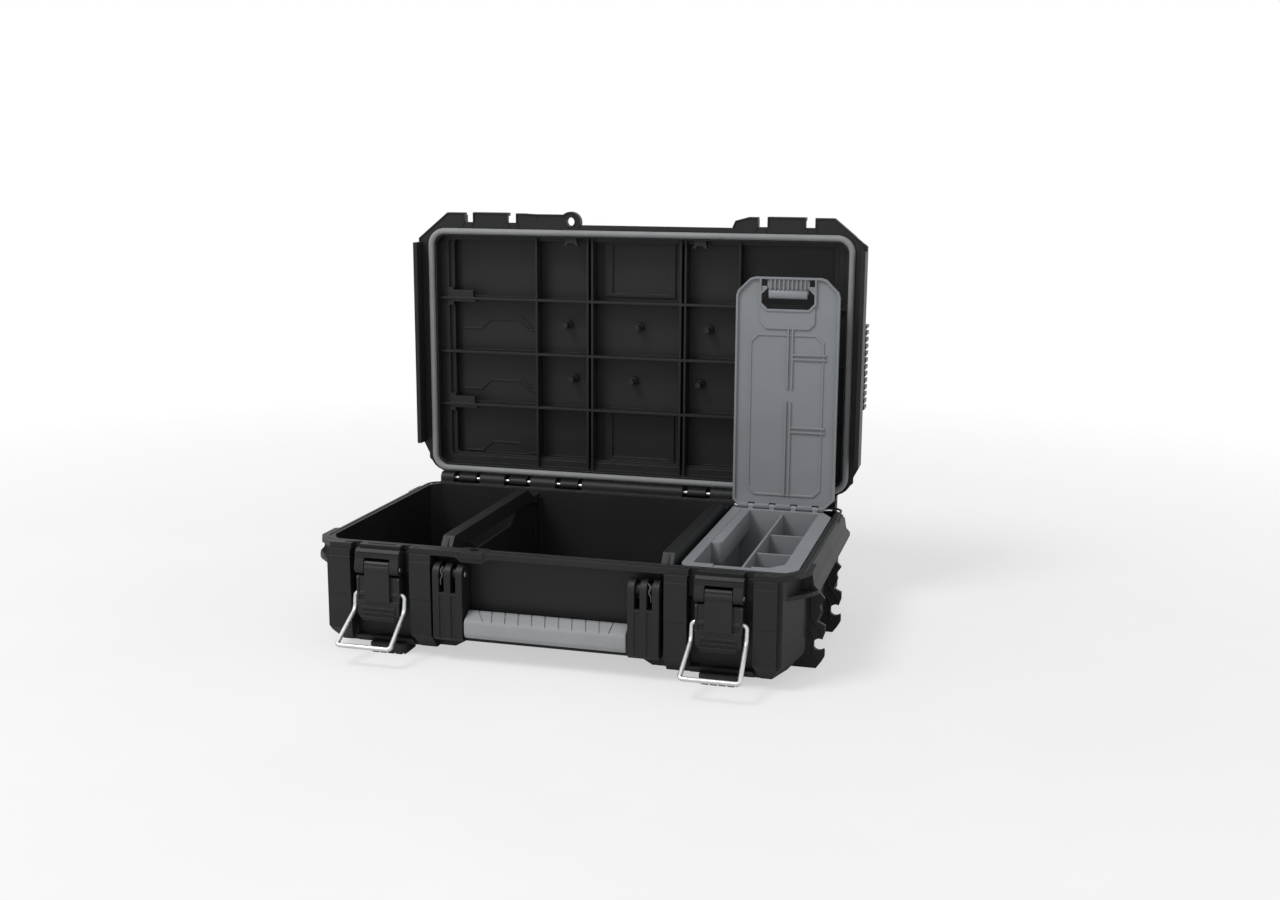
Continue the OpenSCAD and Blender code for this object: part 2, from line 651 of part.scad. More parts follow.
module lid_knuckles() {
    both_sides() for (i = [0 : 2])
        along_x(window_first + i * window_pitch - knuckle_w / 2,
            window_first + i * window_pitch + knuckle_w / 2) {
            circle(r = knuckle_r);
            translate([lid_back - 1, flange_z]) square([-lid_back + 1, knuckle_r - flange_z]);
        }
}

// Flared clips that hang from the front wall of the lid's mouth
module lid_clips() both_sides() translate([-padlock[0], seal_front + mouth_gap, 0])
    slab(both([[7, -1], [7, 4], [9.5, 9.5], [5.5, 9.5], [3.5, 6.5]]), flange_z + 2, flange_z + 8);

module lid_shell() color(black) lid_swing() {
    difference() {
        union() {
            difference() {
                union() {
                    lid_flange();
                    slab(cut_rect(-dome_x, dome_x, dome_front, dome_back, 9), flange_top - 1, lid_h);
                    slab(mouth(wall), flange_top - 1, mouth_h + wall);
                }
                slab(dome_room(0), 0, lid_floor - step_h);
                slab(dome_room(step_in), lid_floor - step_h - 1, lid_floor);
                slab(mouth(0), 0, mouth_h);
            }
            lid_rib_ends();
            lid_inner_ribs();
            lid_top_ribs();
            lid_gussets();
            lid_knuckles();
            lid_brackets();
            lid_embossing();
            lid_clips();
        }
        difference() {
            slab(round_rect(-seal_x - groove_w / 2, seal_x + groove_w / 2,
                seal_front - groove_w / 2, seal_back + groove_w / 2, seal_r + 2), 0, groove_top);
            slab(round_rect(-seal_x + groove_w / 2, seal_x - groove_w / 2,
                seal_front + groove_w / 2, seal_back - groove_w / 2, seal_r - 4), -1, groove_top + 1);
        }
        both_sides() bar_x(window_first - window_w, hinge_wall_x, [0, 0], rod_r + run_gap);
    }
}

module lid_seal() color(pale_grey) lid_swing() difference() {
    slab(round_rect(-seal_x - seal_w / 2, seal_x + seal_w / 2, seal_front - seal_w / 2,
        seal_back + seal_w / 2, seal_r + 2), seal_z, groove_top);
    slab(round_rect(-seal_x + seal_w / 2, seal_x - seal_w / 2, seal_front + seal_w / 2,
        seal_back - seal_w / 2, seal_r - 4), seal_z - 1, groove_top + 1);
}

module side_pad() difference() {
    block([dome_x, pad_y[0], pad_z0], [pad_x, pad_y[1], pad_z1]);
    for (i = [0 : 11])
        block([pad_x - 3, pad_y[0] + (i + 0.37) * pad_pitch, pad_z0 - 1],
            [pad_x + 1, pad_y[0] + (i + 0.85) * pad_pitch, pad_z1 + 1]);
}

module side_pad_left() color(soft_black) lid_swing() mirror([1, 0, 0]) side_pad();
module side_pad_right() color(soft_black) lid_swing() side_pad();

module side_inlays() color(pale_grey) lid_swing() both_sides() for (y = inlay_ys)
    along_y(y[0], y[1]) polygon([[dome_x, pad_z0], [inlay_x - 6, pad_z0], [inlay_x, pad_z0 + 8],
        [inlay_x, pad_z1 - 3], [inlay_x - 3, pad_z1], [dome_x, pad_z1]]);

module latch_bracket() translate([latch_x, 0, 0]) difference() {
    union() {
        along_x(-bracket_w / 2, bracket_w / 2) polygon([[latch_wall_y, bracket_low],
            [latch_wall_y - 3, bracket_low],
            [latch_wall_y - 3, hood_z], [lever_pin[0] - 3.4, hood_z], [lever_pin[0] - 3.4, -8],
            [lever_pin[0], -4], [-front_reach - 0.2, -4], [-front_reach - 0.2, -rim_t - 0.2],
            [latch_wall_y, -rim_t - 0.2]]);
        for (s = [0, 1]) mirror([s, 0, 0]) along_x(neck_w / 2 + 0.8, bracket_w / 2) {
            translate(lever_pin) circle(r = ear_r);
            polygon([[latch_wall_y, hood_z + 1], [lever_pin[0] - 3.4, hood_z + 1],
                [lever_pin[0] - ear_r + 0.3, lever_pin[1] + 3], [lever_pin[0], lever_pin[1]],
                [lever_pin[0] + 6, -30], [latch_wall_y, -30]]);
        }
    }
    bar_x(-bracket_w, bracket_w, lever_pin, lever_pin_r + seat_gap);
    for (s = [-1, 1]) translate([s * screw_dx, latch_wall_y + 1, screw_z]) rotate([90, 0, 0])
        cylinder(h = 15, r = screw_r + seat_gap);
}

module latch_lever() translate([latch_x, 0, 0]) difference() {
    union() {
        along_x(-neck_w / 2, neck_w / 2) {
            translate(lever_pin) circle(r = ear_r - 0.2);
            polygon([for (p = [[-neck_t, lever_mid - lever_pin[1] + 2], [-neck_t, 6.2], [-neck_t + 1.8, 8],
                [2, 8], [4, 4], [4.6, lever_mid - lever_pin[1] + 2]]) lever_pin + p]);
        }
        for (s = [0, 1]) mirror([s, 0, 0]) along_x(lever_w / 2 - 2.6, lever_w / 2)
            translate([lever_pin[0], 0]) polygon([[-1, lever_top], [6, lever_top], [8, lever_top - 3],
                [8, lever_mid + 4], [4, lever_mid], [-2.6, lever_mid], [-2.6, lever_top - 2]]);
        block([-lever_w / 2 + 1, lever_pin[0] - 1.4, lever_mid],
            [lever_w / 2 - 1, lever_pin[0] + 4.6, lever_top]);
        bar_x(-lever_w / 2, lever_w / 2, bail_pivot, wire_r + 2.4);
        along_y(lever_pin[0] - 3.4, lever_pin[0] + 4) polygon(both([[lever_w / 2 - 0.6, lever_mid + 2.6],
            [lever_w / 2 - 0.6, lever_tip + 7], [lever_w / 2 - 7, lever_tip]]));
        for (i = [0 : 2]) along_x(-lever_w / 2 + 5, lever_w / 2 - 5)
            translate([lever_pin[0] - 3.4, lever_mid - 3.6 - i * 5])
                polygon([[0.5, 0], [-2, -0.6], [-2, -2], [0.5, -2.6]]);
    }
    bar_x(-neck_w, neck_w, lever_pin, lever_pin_r + run_gap);
    for (s = [0, 1]) mirror([s, 0, 0])
        bar_x(lever_w / 2 - stub_in - 0.5, lever_w, bail_pivot, wire_r + run_gap);
}

// A wire run between two points of the side view, with a ball at its far end
module wire_run(x, a, b) {
    translate([x, a[0], a[1]]) rotate([atan2(a[0] - b[0], b[1] - a[1]), 0, 0])
        cylinder(h = norm(b - a), r = wire_r);
    translate([x, b[0], b[1]]) sphere(r = wire_r + 0.06);
}

module latch_bail() translate([latch_x, 0, 0]) {
    for (s = [0, 1]) mirror([s, 0, 0]) {
        bar_x(lever_w / 2 - stub_in, bail_w / 2, bail_pivot, wire_r);
        translate([bail_w / 2, bail_pivot[0], bail_pivot[1]]) sphere(r = wire_r + 0.06);
        wire_run(bail_w / 2, bail_pivot, bail_bend);
        wire_run(bail_w / 2, bail_bend, bail_bar);
    }
    bar_x(-bail_w / 2, bail_w / 2, bail_bar, wire_r);
}

module latch_bracket_left() color(black) at_hinge() mirror([1, 0, 0]) latch_bracket();
module latch_bracket_right() color(black) at_hinge() latch_bracket();
module latch_lever_left() color(soft_black) at_hinge() mirror([1, 0, 0]) latch_lever();
module latch_lever_right() color(soft_black) at_hinge() latch_lever();
module latch_bail_left() color(steel) at_hinge() mirror([1, 0, 0]) latch_bail();
module latch_bail_right() color(steel) at_hinge() latch_bail();

module latch_pins() color(steel) at_hinge() both_sides() translate([latch_x, 0, 0])
    bar_x(-bracket_w / 2 + 1, bracket_w / 2 - 1, lever_pin, lever_pin_r);

module bracket_screws() color(steel) at_hinge() both_sides() for (s = [-1, 1])
    translate([latch_x + s * screw_dx, 0, screw_z]) rotate([90, 0, 0]) {
        translate([0, 0, -cavity_front]) cylinder(h = screw_head_h, r = screw_head_r);
        translate([0, 0, -cavity_front + 1]) cylinder(h = cavity_front - latch_wall_y + 12, r = screw_r);
    }

module handle_arm() difference() {
    along_x(arm_x0, arm_x1) {
        translate(handle_pin) circle(r = arm_r);
        polygon([[handle_pin[0] - arm_r, handle_pin[1]], [handle_pin[0] + arm_r, handle_pin[1]],
            [handle_pin[0] + arm_r, handle_pin[1] - arm_len + 8],
            [handle_pin[0] + arm_r - 6, handle_pin[1] - arm_len],
            [handle_pin[0] - arm_r + 4, handle_pin[1] - arm_len],
            [handle_pin[0] - arm_r, handle_pin[1] - arm_len + 4]]);
    }
    for (i = [0, 1]) block([arm_x0 + fin_w + i * (fin_w + slot_w), handle_pin[0] - arm_r - 1, slot_z],
        [arm_x0 + (i + 1) * (fin_w + slot_w), handle_pin[0] + arm_r + 1, handle_pin[1] + arm_r + 1]);
    for (i = [0, 1]) block(
        [arm_x0 + fin_w + i * (fin_w + slot_w), handle_pin[0] - arm_r - 1, handle_pin[1] - 90],
        [arm_x0 + (i + 1) * (fin_w + slot_w), handle_pin[0] - arm_r + 1.2, slot_z - 3]);
    bar_x(arm_x0 - 1, arm_x1 + 1, handle_pin, handle_pin_r + run_gap);
}

module handle_core() polygon([[grip_front + 6, grip_low + 5], [grip_back - 5, grip_low + 5],
    [grip_back - 5, grip_top - 7], [grip_front + core_slope[0], grip_top - 7],
    [grip_front + 6, grip_top - core_slope[1]]]);

module handle_frame() color(black) at_hinge() {
    both_sides() handle_arm();
    along_x(-arm_x0 - 1, arm_x0 + 1) handle_core();
}

module handle_grip() color(grey) at_hinge() difference() {
    along_x(-grip_w / 2, grip_w / 2) difference() {
        polygon([[grip_front + grip_bevel[0], grip_top], [grip_front, grip_top - grip_bevel[1]],
            [grip_front, grip_low + 4],
            [grip_front + 3, grip_low], [grip_back - 4, grip_low], [grip_back, grip_low + 5],
            [grip_back, grip_top - 4], [grip_back - 4, grip_top]]);
        handle_core();
    }
    if (groove_count > 0) for (i = [1 : groove_count])
        translate([-grip_w / 2 + i * grip_w / (groove_count + 1), grip_front + 6.5, grip_top - 4])
            rotate([31.6, 0, 0]) rotate([0, 0, 35]) cube([1.6, 10, 2.4], center = true);
}

module handle_pins() color(steel) at_hinge() both_sides()
    bar_x(arm_x0 + 0.3, arm_x1, handle_pin, handle_pin_r);

// A hollow cap with sloped ends over a thin web, which is scooped away under the cap
module divider() translate([divider_x, 0, 0]) {
    difference() {
        along_x(-divider_w / 2, divider_w / 2) polygon([[cavity_front + 0.5, divider_top - 28],
            [cavity_front + 0.5, divider_low_end], [cavity_front + 6, divider_low_end + 3],
            [cavity_front + 14, divider_top], [cavity_back - 46, divider_top],
            [cavity_back - 22, divider_low_end], [cavity_back - 0.5, divider_low_end],
            [cavity_back - 0.5, divider_top - 28], [cavity_back - 30, divider_top - 19],
            [cavity_front + 30, divider_top - 15]]);
        along_x(-divider_w / 2 + 2, divider_w / 2 - 2) polygon([[cavity_front + 20, divider_top - 29],
            [cavity_front + 20, divider_top - 2.5], [cavity_back - 48, divider_top - 2.5],
            [cavity_back - 30, divider_top - 29]]);
    }
    difference() {
        block([-1.6, cavity_front + 0.5, floor_z], [1.6, cavity_back - 0.5, divider_top - 2]);
        along_x(-divider_w, divider_w) polygon([[cavity_front + 60, divider_top - 18],
            [cavity_front + 92, divider_top - 34], [cavity_back - 92, divider_top - 34],
            [cavity_back - 60, divider_top - 22]]);
        along_x(-divider_w, divider_w) polygon([[cavity_front - 1, divider_low_end - 1],
            [cavity_front + divider_nose, divider_top - 1], [cavity_front - 1, divider_top + 1]]);
        along_x(-divider_w, divider_w) polygon([[cavity_back + 1, divider_low_end - 1],
            [cavity_back - divider_scoop[0], divider_low_end - 1],
            [cavity_back - divider_scoop[1], divider_top - 1],
            [cavity_back + 1, divider_top + 1]]);
    }
    for (y = [cavity_front + 0.5, cavity_back - 4.5])
        block([-divider_w / 2, y, floor_z], [divider_w / 2, y + 4, divider_low_end - 1]);
    block([-divider_w / 2, cavity_front + 0.5, floor_z], [divider_w / 2, cavity_back - 0.5, floor_z + 3]);
}

module divider_left() color(black) at_hinge() mirror([1, 0, 0]) divider();
module divider_right() color(black) at_hinge() divider();

module organiser_lugs() for (i = [-1.5 : 1 : 1.5])
    along_x(org_xm + i * flap_pitch - flap_w / 2 + 1, org_xm + i * flap_pitch + flap_w / 2 - 1) {
        translate(org_axis) circle(r = organiser_t / 2);
        translate([org_axis[0] - organiser_t / 2, tray_top - 1])
            square([organiser_t, org_axis[1] - tray_top + 1]);
    }

// Rounded slanted-corner outline of the tray's flange, drawn in by a margin
function tray_outline(m) = [[org_x0 + 6, org_axis[0] + 7 - m],
    [org_x1 - tray_corner[0] - m / 2, org_axis[0] + 7 - m], [org_x1 - m, org_axis[0] - tray_corner[1]],
    [org_x1 - m, org_front + tray_ease[1]], [org_x1 - m - 2.4, org_front + tray_ease[0]],
    [org_x1 - m - 8.6, org_front + m + 5], [org_x1 - 16 - m / 2, org_front + m],
    [org_x0 + 13, org_front + m], [org_x0 + m + 6, org_front + m + 2.5],
    [org_x0 + m + 1.5, org_front + 8], [org_x0 + m, org_front + 15],
    [org_x0 + m, org_axis[0] + 2 - m], [org_x0 + 3 + m / 2, org_axis[0] + 6 - m]];

// Outline of the tray's box, with its corner cut where the case's own corner is
function tray_box(m) = [[tray_x0 + m, tray_y0 + m], [tray_x1 - 15 - m / 2, tray_y0 + m],
    [tray_x1 - m, tray_y0 + 18 + m / 2], [tray_x1 - m, tray_y1 - m], [tray_x0 + m, tray_y1 - m]];

module organiser_tray() color(grey) at_hinge() difference() {
    union() {
        slab(tray_outline(0), tray_top - tray_flange, tray_top);
        slab(tray_box(0), tray_floor, tray_top - 1);
        organiser_lugs();
    }
    slab(tray_box(tray_wall), tray_floor + tray_wall, tray_top + 1);
    block([tray_x0 + 24, org_front + 5, tray_top - 1.4],
        [tray_x1 - 34, tray_y0 + tray_wall + 1, tray_top + 1]);
    bar_x(org_x0, org_x1, org_axis, org_pin_r + seat_gap);
}

module organiser_long_divider() color(grey) at_hinge()
    block([tray_split_x - cell_wall / 2, tray_y0 + tray_wall, tray_floor + tray_wall],
        [tray_split_x + cell_wall / 2, tray_y1 - tray_wall, tray_top - tray_flange]);

module organiser_cross_dividers() color(grey) at_hinge() for (y = cross_ys)
    block([tray_split_x + cell_wall / 2, y - cell_wall / 2, tray_floor + tray_wall],
        [tray_x1 - tray_wall, y + cell_wall / 2, tray_top - tray_flange - 2]);

// Slanted-corner outline of the organiser's lid, drawn in by a margin
function flap_half(m) = [[org_x0 + org_cut + 5 + 0.2 * m, org_front + m],
    [org_x0 + org_cut - 1 + 0.4 * m, org_front + 1.8 + m],
    [org_x0 + 1.8 + m, org_front + org_cut - 1 + 0.4 * m],
    [org_x0 + m, org_front + org_cut + 5 + 0.2 * m]];
function flap_outline(m) = concat([for (p = flap_half(m)) [2 * org_xm - p[0], p[1]]],
    [[org_x1 - m, org_axis[0] - flap_cut[0] - 0.4 * m],
        [org_x1 - flap_cut[0] - 0.4 * m, org_axis[0] - m],
        [org_x0 + flap_cut[1] + 0.4 * m, org_axis[0] - m],
        [org_x0 + m, org_axis[0] - flap_cut[1] - 0.4 * m]],
    [for (i = [3 : -1 : 0]) flap_half(m)[i]]);

// Outline of the finger window near the organiser lid's free edge
function finger_window(m) = cut_rect(org_xm - window_half - m, org_xm + window_half + m,
    org_front + window_gap[0] - m, org_front + window_gap[1] + m, 7 + m / 2);

// Raised plate below the finger window
function catch_plate() = [for (p = both([[window_half + 1, 10], [window_half + 1, 53],
    [window_half - 6, 60]])) [org_xm + p[0], org_front + p[1]]];

// Outline of the raised bead round the organiser lid's panel
function inner_panel(m) = cut_rect(org_x0 + 17 + m, org_x1 - 17 - m, org_front + 66 + m,
    org_axis[0] - 14 - m, 8);

module flap_ribs() {
    for (s = [-2.6, 2.6]) {
        block([org_xm + 3 + s - 1, org_axis[0] - 0.47 * flap_l, org_low + 1],
            [org_xm + 3 + s + 1, org_axis[0] - 0.052 * flap_l, org_top - 1]);
        block([org_xm + 4 + s - 1, org_axis[0] - 0.8 * flap_l, org_low + 1],
            [org_xm + 4 + s + 1, org_axis[0] - 0.522 * flap_l, org_top - 1]);
        for (f = [0.3455, 0.6615])
            block([org_xm + 6, org_axis[0] - f * flap_l + s - 1, org_low + 1],
                [org_x1 - 14, org_axis[0] - f * flap_l + s + 1, org_top - 1]);
    }
}

module organiser_lid() color(grey) organiser_swing() difference() {
    union() {
        slab(flap_outline(0), org_top - org_plate, org_top);
        difference() {
            slab(flap_outline(0), org_low, org_top);
            slab(flap_outline(2.4), org_low - 1, org_top - org_plate);
        }
        slab(finger_window(2.4), org_low, org_top);
        slab(catch_plate(), org_low + 1.2, org_top);
        for (s = [-1, 1]) block([org_xm + s * (window_half + 1.2) - 1, org_front + 1, org_low],
            [org_xm + s * (window_half + 1.2) + 1, org_front + window_gap[0] + 6, org_top]);
        difference() {
            slab(inner_panel(0), org_low + 1.9, org_top);
            slab(inner_panel(2), org_low + 1, org_top - org_plate);
        }
        flap_ribs();
        bar_x(org_x0 + flap_cut[1], org_x1 - flap_cut[0], org_axis, organiser_t / 2 - 0.1);
    }
    slab(finger_window(0), org_low - 1, org_top + 1);
    block([org_xm - comb_half - 1, org_front + 2.4, org_low - 1],
        [org_xm + comb_half + 1, org_front + window_gap[0] + 1, org_top - org_plate]);
    for (s = [0, 1]) translate([org_xm, 0, 0]) mirror([s, 0, 0])
        block([comb_half + 1, org_front + 2.4, org_low - 1],
            [window_half + 0.2, org_front + window_gap[0] - 2.4, org_top + 1]);
    for (i = [-1.5 : 1 : 1.5])
        block([org_xm + i * flap_pitch - flap_w / 2, org_axis[0] - organiser_t / 2 - 1.4, org_low - 1],
            [org_xm + i * flap_pitch + flap_w / 2, org_axis[0] + organiser_t, org_top + 1]);
    bar_x(org_x0, org_x1 + 1, org_axis, org_pin_r + run_gap);
}

module organiser_latch() color(grey) organiser_swing() {
    block([org_xm - comb_half, org_front + hook_bar[0], org_low + 0.6],
        [org_xm + comb_half, org_front + hook_bar[1], org_top - 0.6]);
    block([org_xm - comb_half, org_front + window_gap[0], org_top - 2],
        [org_xm + comb_half, org_front + hook_bar[0] + 1, org_top - 0.6]);
    block([org_xm - comb_half, org_front + 2.4, org_top - org_plate - 1],
        [org_xm + comb_half, org_front + hook_bar[0] + 1, org_top - org_plate]);
    for (i = [-4 : 4]) block([org_xm + i * 5 - 0.8, org_front + 2.4, org_low + 0.6],
        [org_xm + i * 5 + 0.8, org_front + hook_bar[0] + 1, org_top - org_plate - 0.5]);
}

module organiser_pin() color(steel) at_hinge() bar_x(org_x0 + 2, org_x1 - 2, org_axis, org_pin_r);

base_shell();
lid_shell();
lid_seal();
hinge_rods();
handle_frame();
handle_grip();
handle_pins();
latch_bracket_left();
latch_bracket_right();
bracket_screws();
latch_pins();
latch_lever_left();
latch_lever_right();
latch_bail_left();
latch_bail_right();
divider_left();
divider_right();
organiser_tray();
organiser_long_divider();
organiser_cross_dividers();
organiser_lid();
organiser_latch();
organiser_pin();
foot_pads();
side_pad_left();
side_pad_right();
side_inlays();
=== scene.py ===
import json
import math
import bmesh
import bpy
from mathutils import Matrix, Vector


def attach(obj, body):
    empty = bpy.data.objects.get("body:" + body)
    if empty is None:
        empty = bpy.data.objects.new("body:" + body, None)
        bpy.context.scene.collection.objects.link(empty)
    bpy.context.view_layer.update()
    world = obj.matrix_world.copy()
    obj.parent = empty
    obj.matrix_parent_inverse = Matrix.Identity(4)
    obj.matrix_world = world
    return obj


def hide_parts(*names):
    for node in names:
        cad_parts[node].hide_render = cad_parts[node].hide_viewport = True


# Hard tool case: finishes for every moulded and steel piece, the formed wire bails and the
# sealing bead as meshes of their own, then the floor, the lamps and the camera.
# Metres everywhere. Z is up, the latches face -Y and the hinge is at +Y.
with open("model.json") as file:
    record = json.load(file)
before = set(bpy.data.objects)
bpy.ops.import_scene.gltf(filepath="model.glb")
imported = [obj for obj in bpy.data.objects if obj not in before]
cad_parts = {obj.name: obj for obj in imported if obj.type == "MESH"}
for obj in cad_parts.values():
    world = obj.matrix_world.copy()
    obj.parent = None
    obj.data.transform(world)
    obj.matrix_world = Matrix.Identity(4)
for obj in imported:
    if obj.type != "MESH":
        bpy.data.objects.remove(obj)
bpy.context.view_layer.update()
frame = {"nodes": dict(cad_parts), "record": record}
nodes = frame["nodes"]
print("frame loaded:", len(nodes), "nodes")

# Hinge line of the case, from which the drawn pieces below are measured
hinge = Vector((0.0, 0.169, 0.122))


# Short names for the shader nodes used below
def newMaterial(name):
    material = bpy.data.materials.new(name)
    material.use_nodes = True
    tree = material.node_tree
    tree.nodes.clear()
    return material, tree


def addNode(tree, kind, settings=None, **inputs):
    node = tree.nodes.new(kind)
    for key, value in (settings or {}).items():
        setattr(node, key, value)
    for key, value in inputs.items():
        socket = node.inputs[key.replace("_", " ")]
        if isinstance(value, bpy.types.NodeSocket):
            tree.links.new(value, socket)
        else:
            socket.default_value = value
    return node


def noiseAt(tree, coords, scale, detail=2.0, rough=0.5, stretch=None):
    if stretch:  # stretched noise gives streaks along one direction
        coords = addNode(tree, "ShaderNodeMapping", Vector=coords, Scale=stretch).outputs["Vector"]
    node = addNode(tree, "ShaderNodeTexNoise", Vector=coords, Scale=scale, Detail=detail, Roughness=rough)
    return node.outputs["Fac"]


def spread(tree, value, fromLow, fromHigh, toLow, toHigh):
    node = addNode(tree, "ShaderNodeMapRange", Value=value, From_Min=fromLow, From_Max=fromHigh,
                   To_Min=toLow, To_Max=toHigh)
    return node.outputs["Result"]


def mathNode(tree, operation, a, b):
    node = addNode(tree, "ShaderNodeMath", {"operation": operation})
    for socket, value in zip(node.inputs, (a, b)):
        if isinstance(value, bpy.types.NodeSocket):
            tree.links.new(value, socket)
        else:
            socket.default_value = value
    return node.outputs[0]


def mixColour(tree, amount, a, b):
    node = addNode(tree, "ShaderNodeMix", {"data_type": "RGBA"})
    for index, value in ((0, amount), (6, a), (7, b)):
        if isinstance(value, bpy.types.NodeSocket):
            tree.links.new(value, node.inputs[index])
        else:
            node.inputs[index].default_value = (*value, 1.0) if isinstance(value, tuple) else value
    return node.outputs[2]


# 0 on flat faces, 1 along outer edges, where hands and tools polish the grain away; on the plastics the
# lighter colour laid along them is partly a painted highlight
def edgeMask(tree, radius):
    bevel = addNode(tree, "ShaderNodeBevel", {"samples": 4}, Radius=radius)
    plain = addNode(tree, "ShaderNodeNewGeometry")
    dot = addNode(tree, "ShaderNodeVectorMath", {"operation": "DOT_PRODUCT"})
    tree.links.new(bevel.outputs["Normal"], dot.inputs[0])
    tree.links.new(plain.outputs["Normal"], dot.inputs[1])
    return spread(tree, dot.outputs["Value"], 0.995, 0.85, 0.0, 1.0), bevel.outputs["Normal"]


def finishShader(tree, settings, colour, roughness, normal, metallic=0.0):
    shader = addNode(tree, "ShaderNodeBsdfPrincipled", None, Base_Color=colour, Roughness=roughness,
                     Normal=normal, Metallic=metallic)
    shader.inputs["Specular IOR Level"].default_value = settings.get("gloss", 0.5)
    if settings.get("sheen"):
        shader.inputs["Sheen Weight"].default_value = settings["sheen"]
        shader.inputs["Sheen Roughness"].default_value = 0.5
    out = addNode(tree, "ShaderNodeOutputMaterial")
    tree.links.new(shader.outputs[0], out.inputs["Surface"])
    return shader


# Moulded plastics, in linear colour; each one's edge colour is partly rubbed wear and partly a painted
# highlight along the edges
blackShell = {  # ribbed polypropylene of the base and the lid, with a fine spark-eroded grain
    "colour": (0.0090, 0.0094, 0.0101), "pale": (0.0142, 0.0148, 0.0158), "edge": (0.046, 0.048, 0.051),
    "roughness": 0.50, "gloss": 0.30, "grain": 900.0, "grainDepth": 0.00009,
    "rounding": 0.0009, "edgeWearAndHighlight": 0.55,
}
blackLever = {  # nylon of the levers and brackets, a little smoother
    "colour": (0.0094, 0.0098, 0.0105), "pale": (0.0147, 0.0152, 0.0162), "edge": (0.050, 0.052, 0.055),
    "roughness": 0.42, "gloss": 0.32, "grain": 1300.0, "grainDepth": 0.00005,
    "rounding": 0.0008, "edgeWearAndHighlight": 0.6,
}
greyPlastic = {  # organiser tray and lid
    "colour": (0.232, 0.246, 0.262), "pale": (0.262, 0.277, 0.294), "edge": (0.40, 0.41, 0.42),
    "roughness": 0.44, "gloss": 0.40, "grain": 1100.0, "grainDepth": 0.00005,
    "rounding": 0.0008, "edgeWearAndHighlight": 0.5,
}
inlayPlastic = {  # pale slips at the lid's ends
    "colour": (0.36, 0.365, 0.37), "pale": (0.41, 0.415, 0.42), "edge": (0.5, 0.5, 0.5),
    "roughness": 0.42, "gloss": 0.42, "grain": 1100.0, "grainDepth": 0.00004,
    "rounding": 0.0008, "edgeWearAndHighlight": 0.4,
}


def mouldedPlastic(name, look):
    material, tree = newMaterial(name)
    coords = addNode(tree, "ShaderNodeTexCoord").outputs["Object"]
    edges, rounded = edgeMask(tree, look["rounding"])
    # slow flow marks from the mould, long across the case
    flow = noiseAt(tree, coords, 9.0, 3.0, 0.55, stretch=(0.5, 1.0, 1.4))
    tint = mixColour(tree, spread(tree, flow, 0.35, 0.68, 0.0, 1.0), look["colour"], look["pale"])
    # rubbed edges, lighter partly for wear and partly as a painted highlight, broken up so that they don't
    # read as a drawn line
    patchy = noiseAt(tree, coords, 55.0, 4.0, 0.65)
    rubbedEdgeAndHighlight = mathNode(tree, "MULTIPLY", edges, spread(tree, patchy, 0.35, 0.7, 0.15, look["edgeWearAndHighlight"]))
    colour = mixColour(tree, rubbedEdgeAndHighlight, tint, look["edge"])
    # hairline scuffs on the flats
    scuff = noiseAt(tree, coords, 60.0, 5.0, 0.7, stretch=(0.25, 4.0, 4.0))
    scuffed = spread(tree, scuff, 0.63, 0.72, 0.0, 0.35)
    colour = mixColour(tree, scuffed, colour, look["pale"])
    grain = noiseAt(tree, coords, look["grain"], 2.0, 0.6)
    base = look["roughness"]
    rough = spread(tree, mathNode(tree, "ADD", flow, grain), 0.6, 1.5, base - 0.07, base + 0.09)
    rough = mathNode(tree, "SUBTRACT", rough, mathNode(tree, "MULTIPLY", rubbedEdgeAndHighlight, 0.12))
    bump = addNode(tree, "ShaderNodeBump", Height=grain, Strength=0.55, Distance=look["grainDepth"],
                   Normal=rounded)
    finishShader(tree, look, colour, rough, bump.outputs["Normal"])
    return material


# Rubbers
sealRubber = {"colour": (0.27, 0.275, 0.28), "dusty": (0.33, 0.335, 0.34), "roughness": 0.72,
              "gloss": 0.3, "sheen": 0.15, "pores": 1500.0, "rounding": 0.001}
gripRubber = {"colour": (0.300, 0.311, 0.323), "dusty": (0.340, 0.351, 0.363), "roughness": 0.62,
              "gloss": 0.35, "sheen": 0.1, "pores": 1000.0, "rounding": 0.0009}
footRubber = {"colour": (0.017, 0.017, 0.018), "dusty": (0.035, 0.034, 0.033), "roughness": 0.8,
              "gloss": 0.3, "sheen": 0.05, "pores": 700.0, "rounding": 0.0008}


def mouldedRubber(name, look):
    material, tree = newMaterial(name)
    coords = addNode(tree, "ShaderNodeTexCoord").outputs["Object"]
    edges, rounded = edgeMask(tree, look["rounding"])
    cloud = noiseAt(tree, coords, 22.0, 4.0, 0.6)
    dust = mathNode(tree, "MAXIMUM", spread(tree, cloud, 0.42, 0.7, 0.0, 0.8),
                    mathNode(tree, "MULTIPLY", edges, 0.5))
    colour = mixColour(tree, dust, look["colour"], look["dusty"])
    pores = noiseAt(tree, coords, look["pores"], 2.0, 0.6)
    rough = spread(tree, mathNode(tree, "ADD", cloud, pores), 0.6, 1.5, look["roughness"] - 0.08,
                   look["roughness"] + 0.1)
    bump = addNode(tree, "ShaderNodeBump", Height=pores, Strength=0.6, Distance=0.00008, Normal=rounded)
    finishShader(tree, look, colour, rough, bump.outputs["Normal"])
    return material


# Plated and bare steel
platedSteel = {"colour": (0.50, 0.51, 0.52), "dull": (0.33, 0.33, 0.335), "roughness": 0.32,
               "streaks": 260.0}
bailSteel = {"colour": (0.66, 0.67, 0.68), "dull": (0.50, 0.50, 0.51), "roughness": 0.40,
             "streaks": 420.0}
springSteel = {"colour": (0.16, 0.16, 0.165), "dull": (0.09, 0.09, 0.09), "roughness": 0.5,
               "streaks": 300.0}


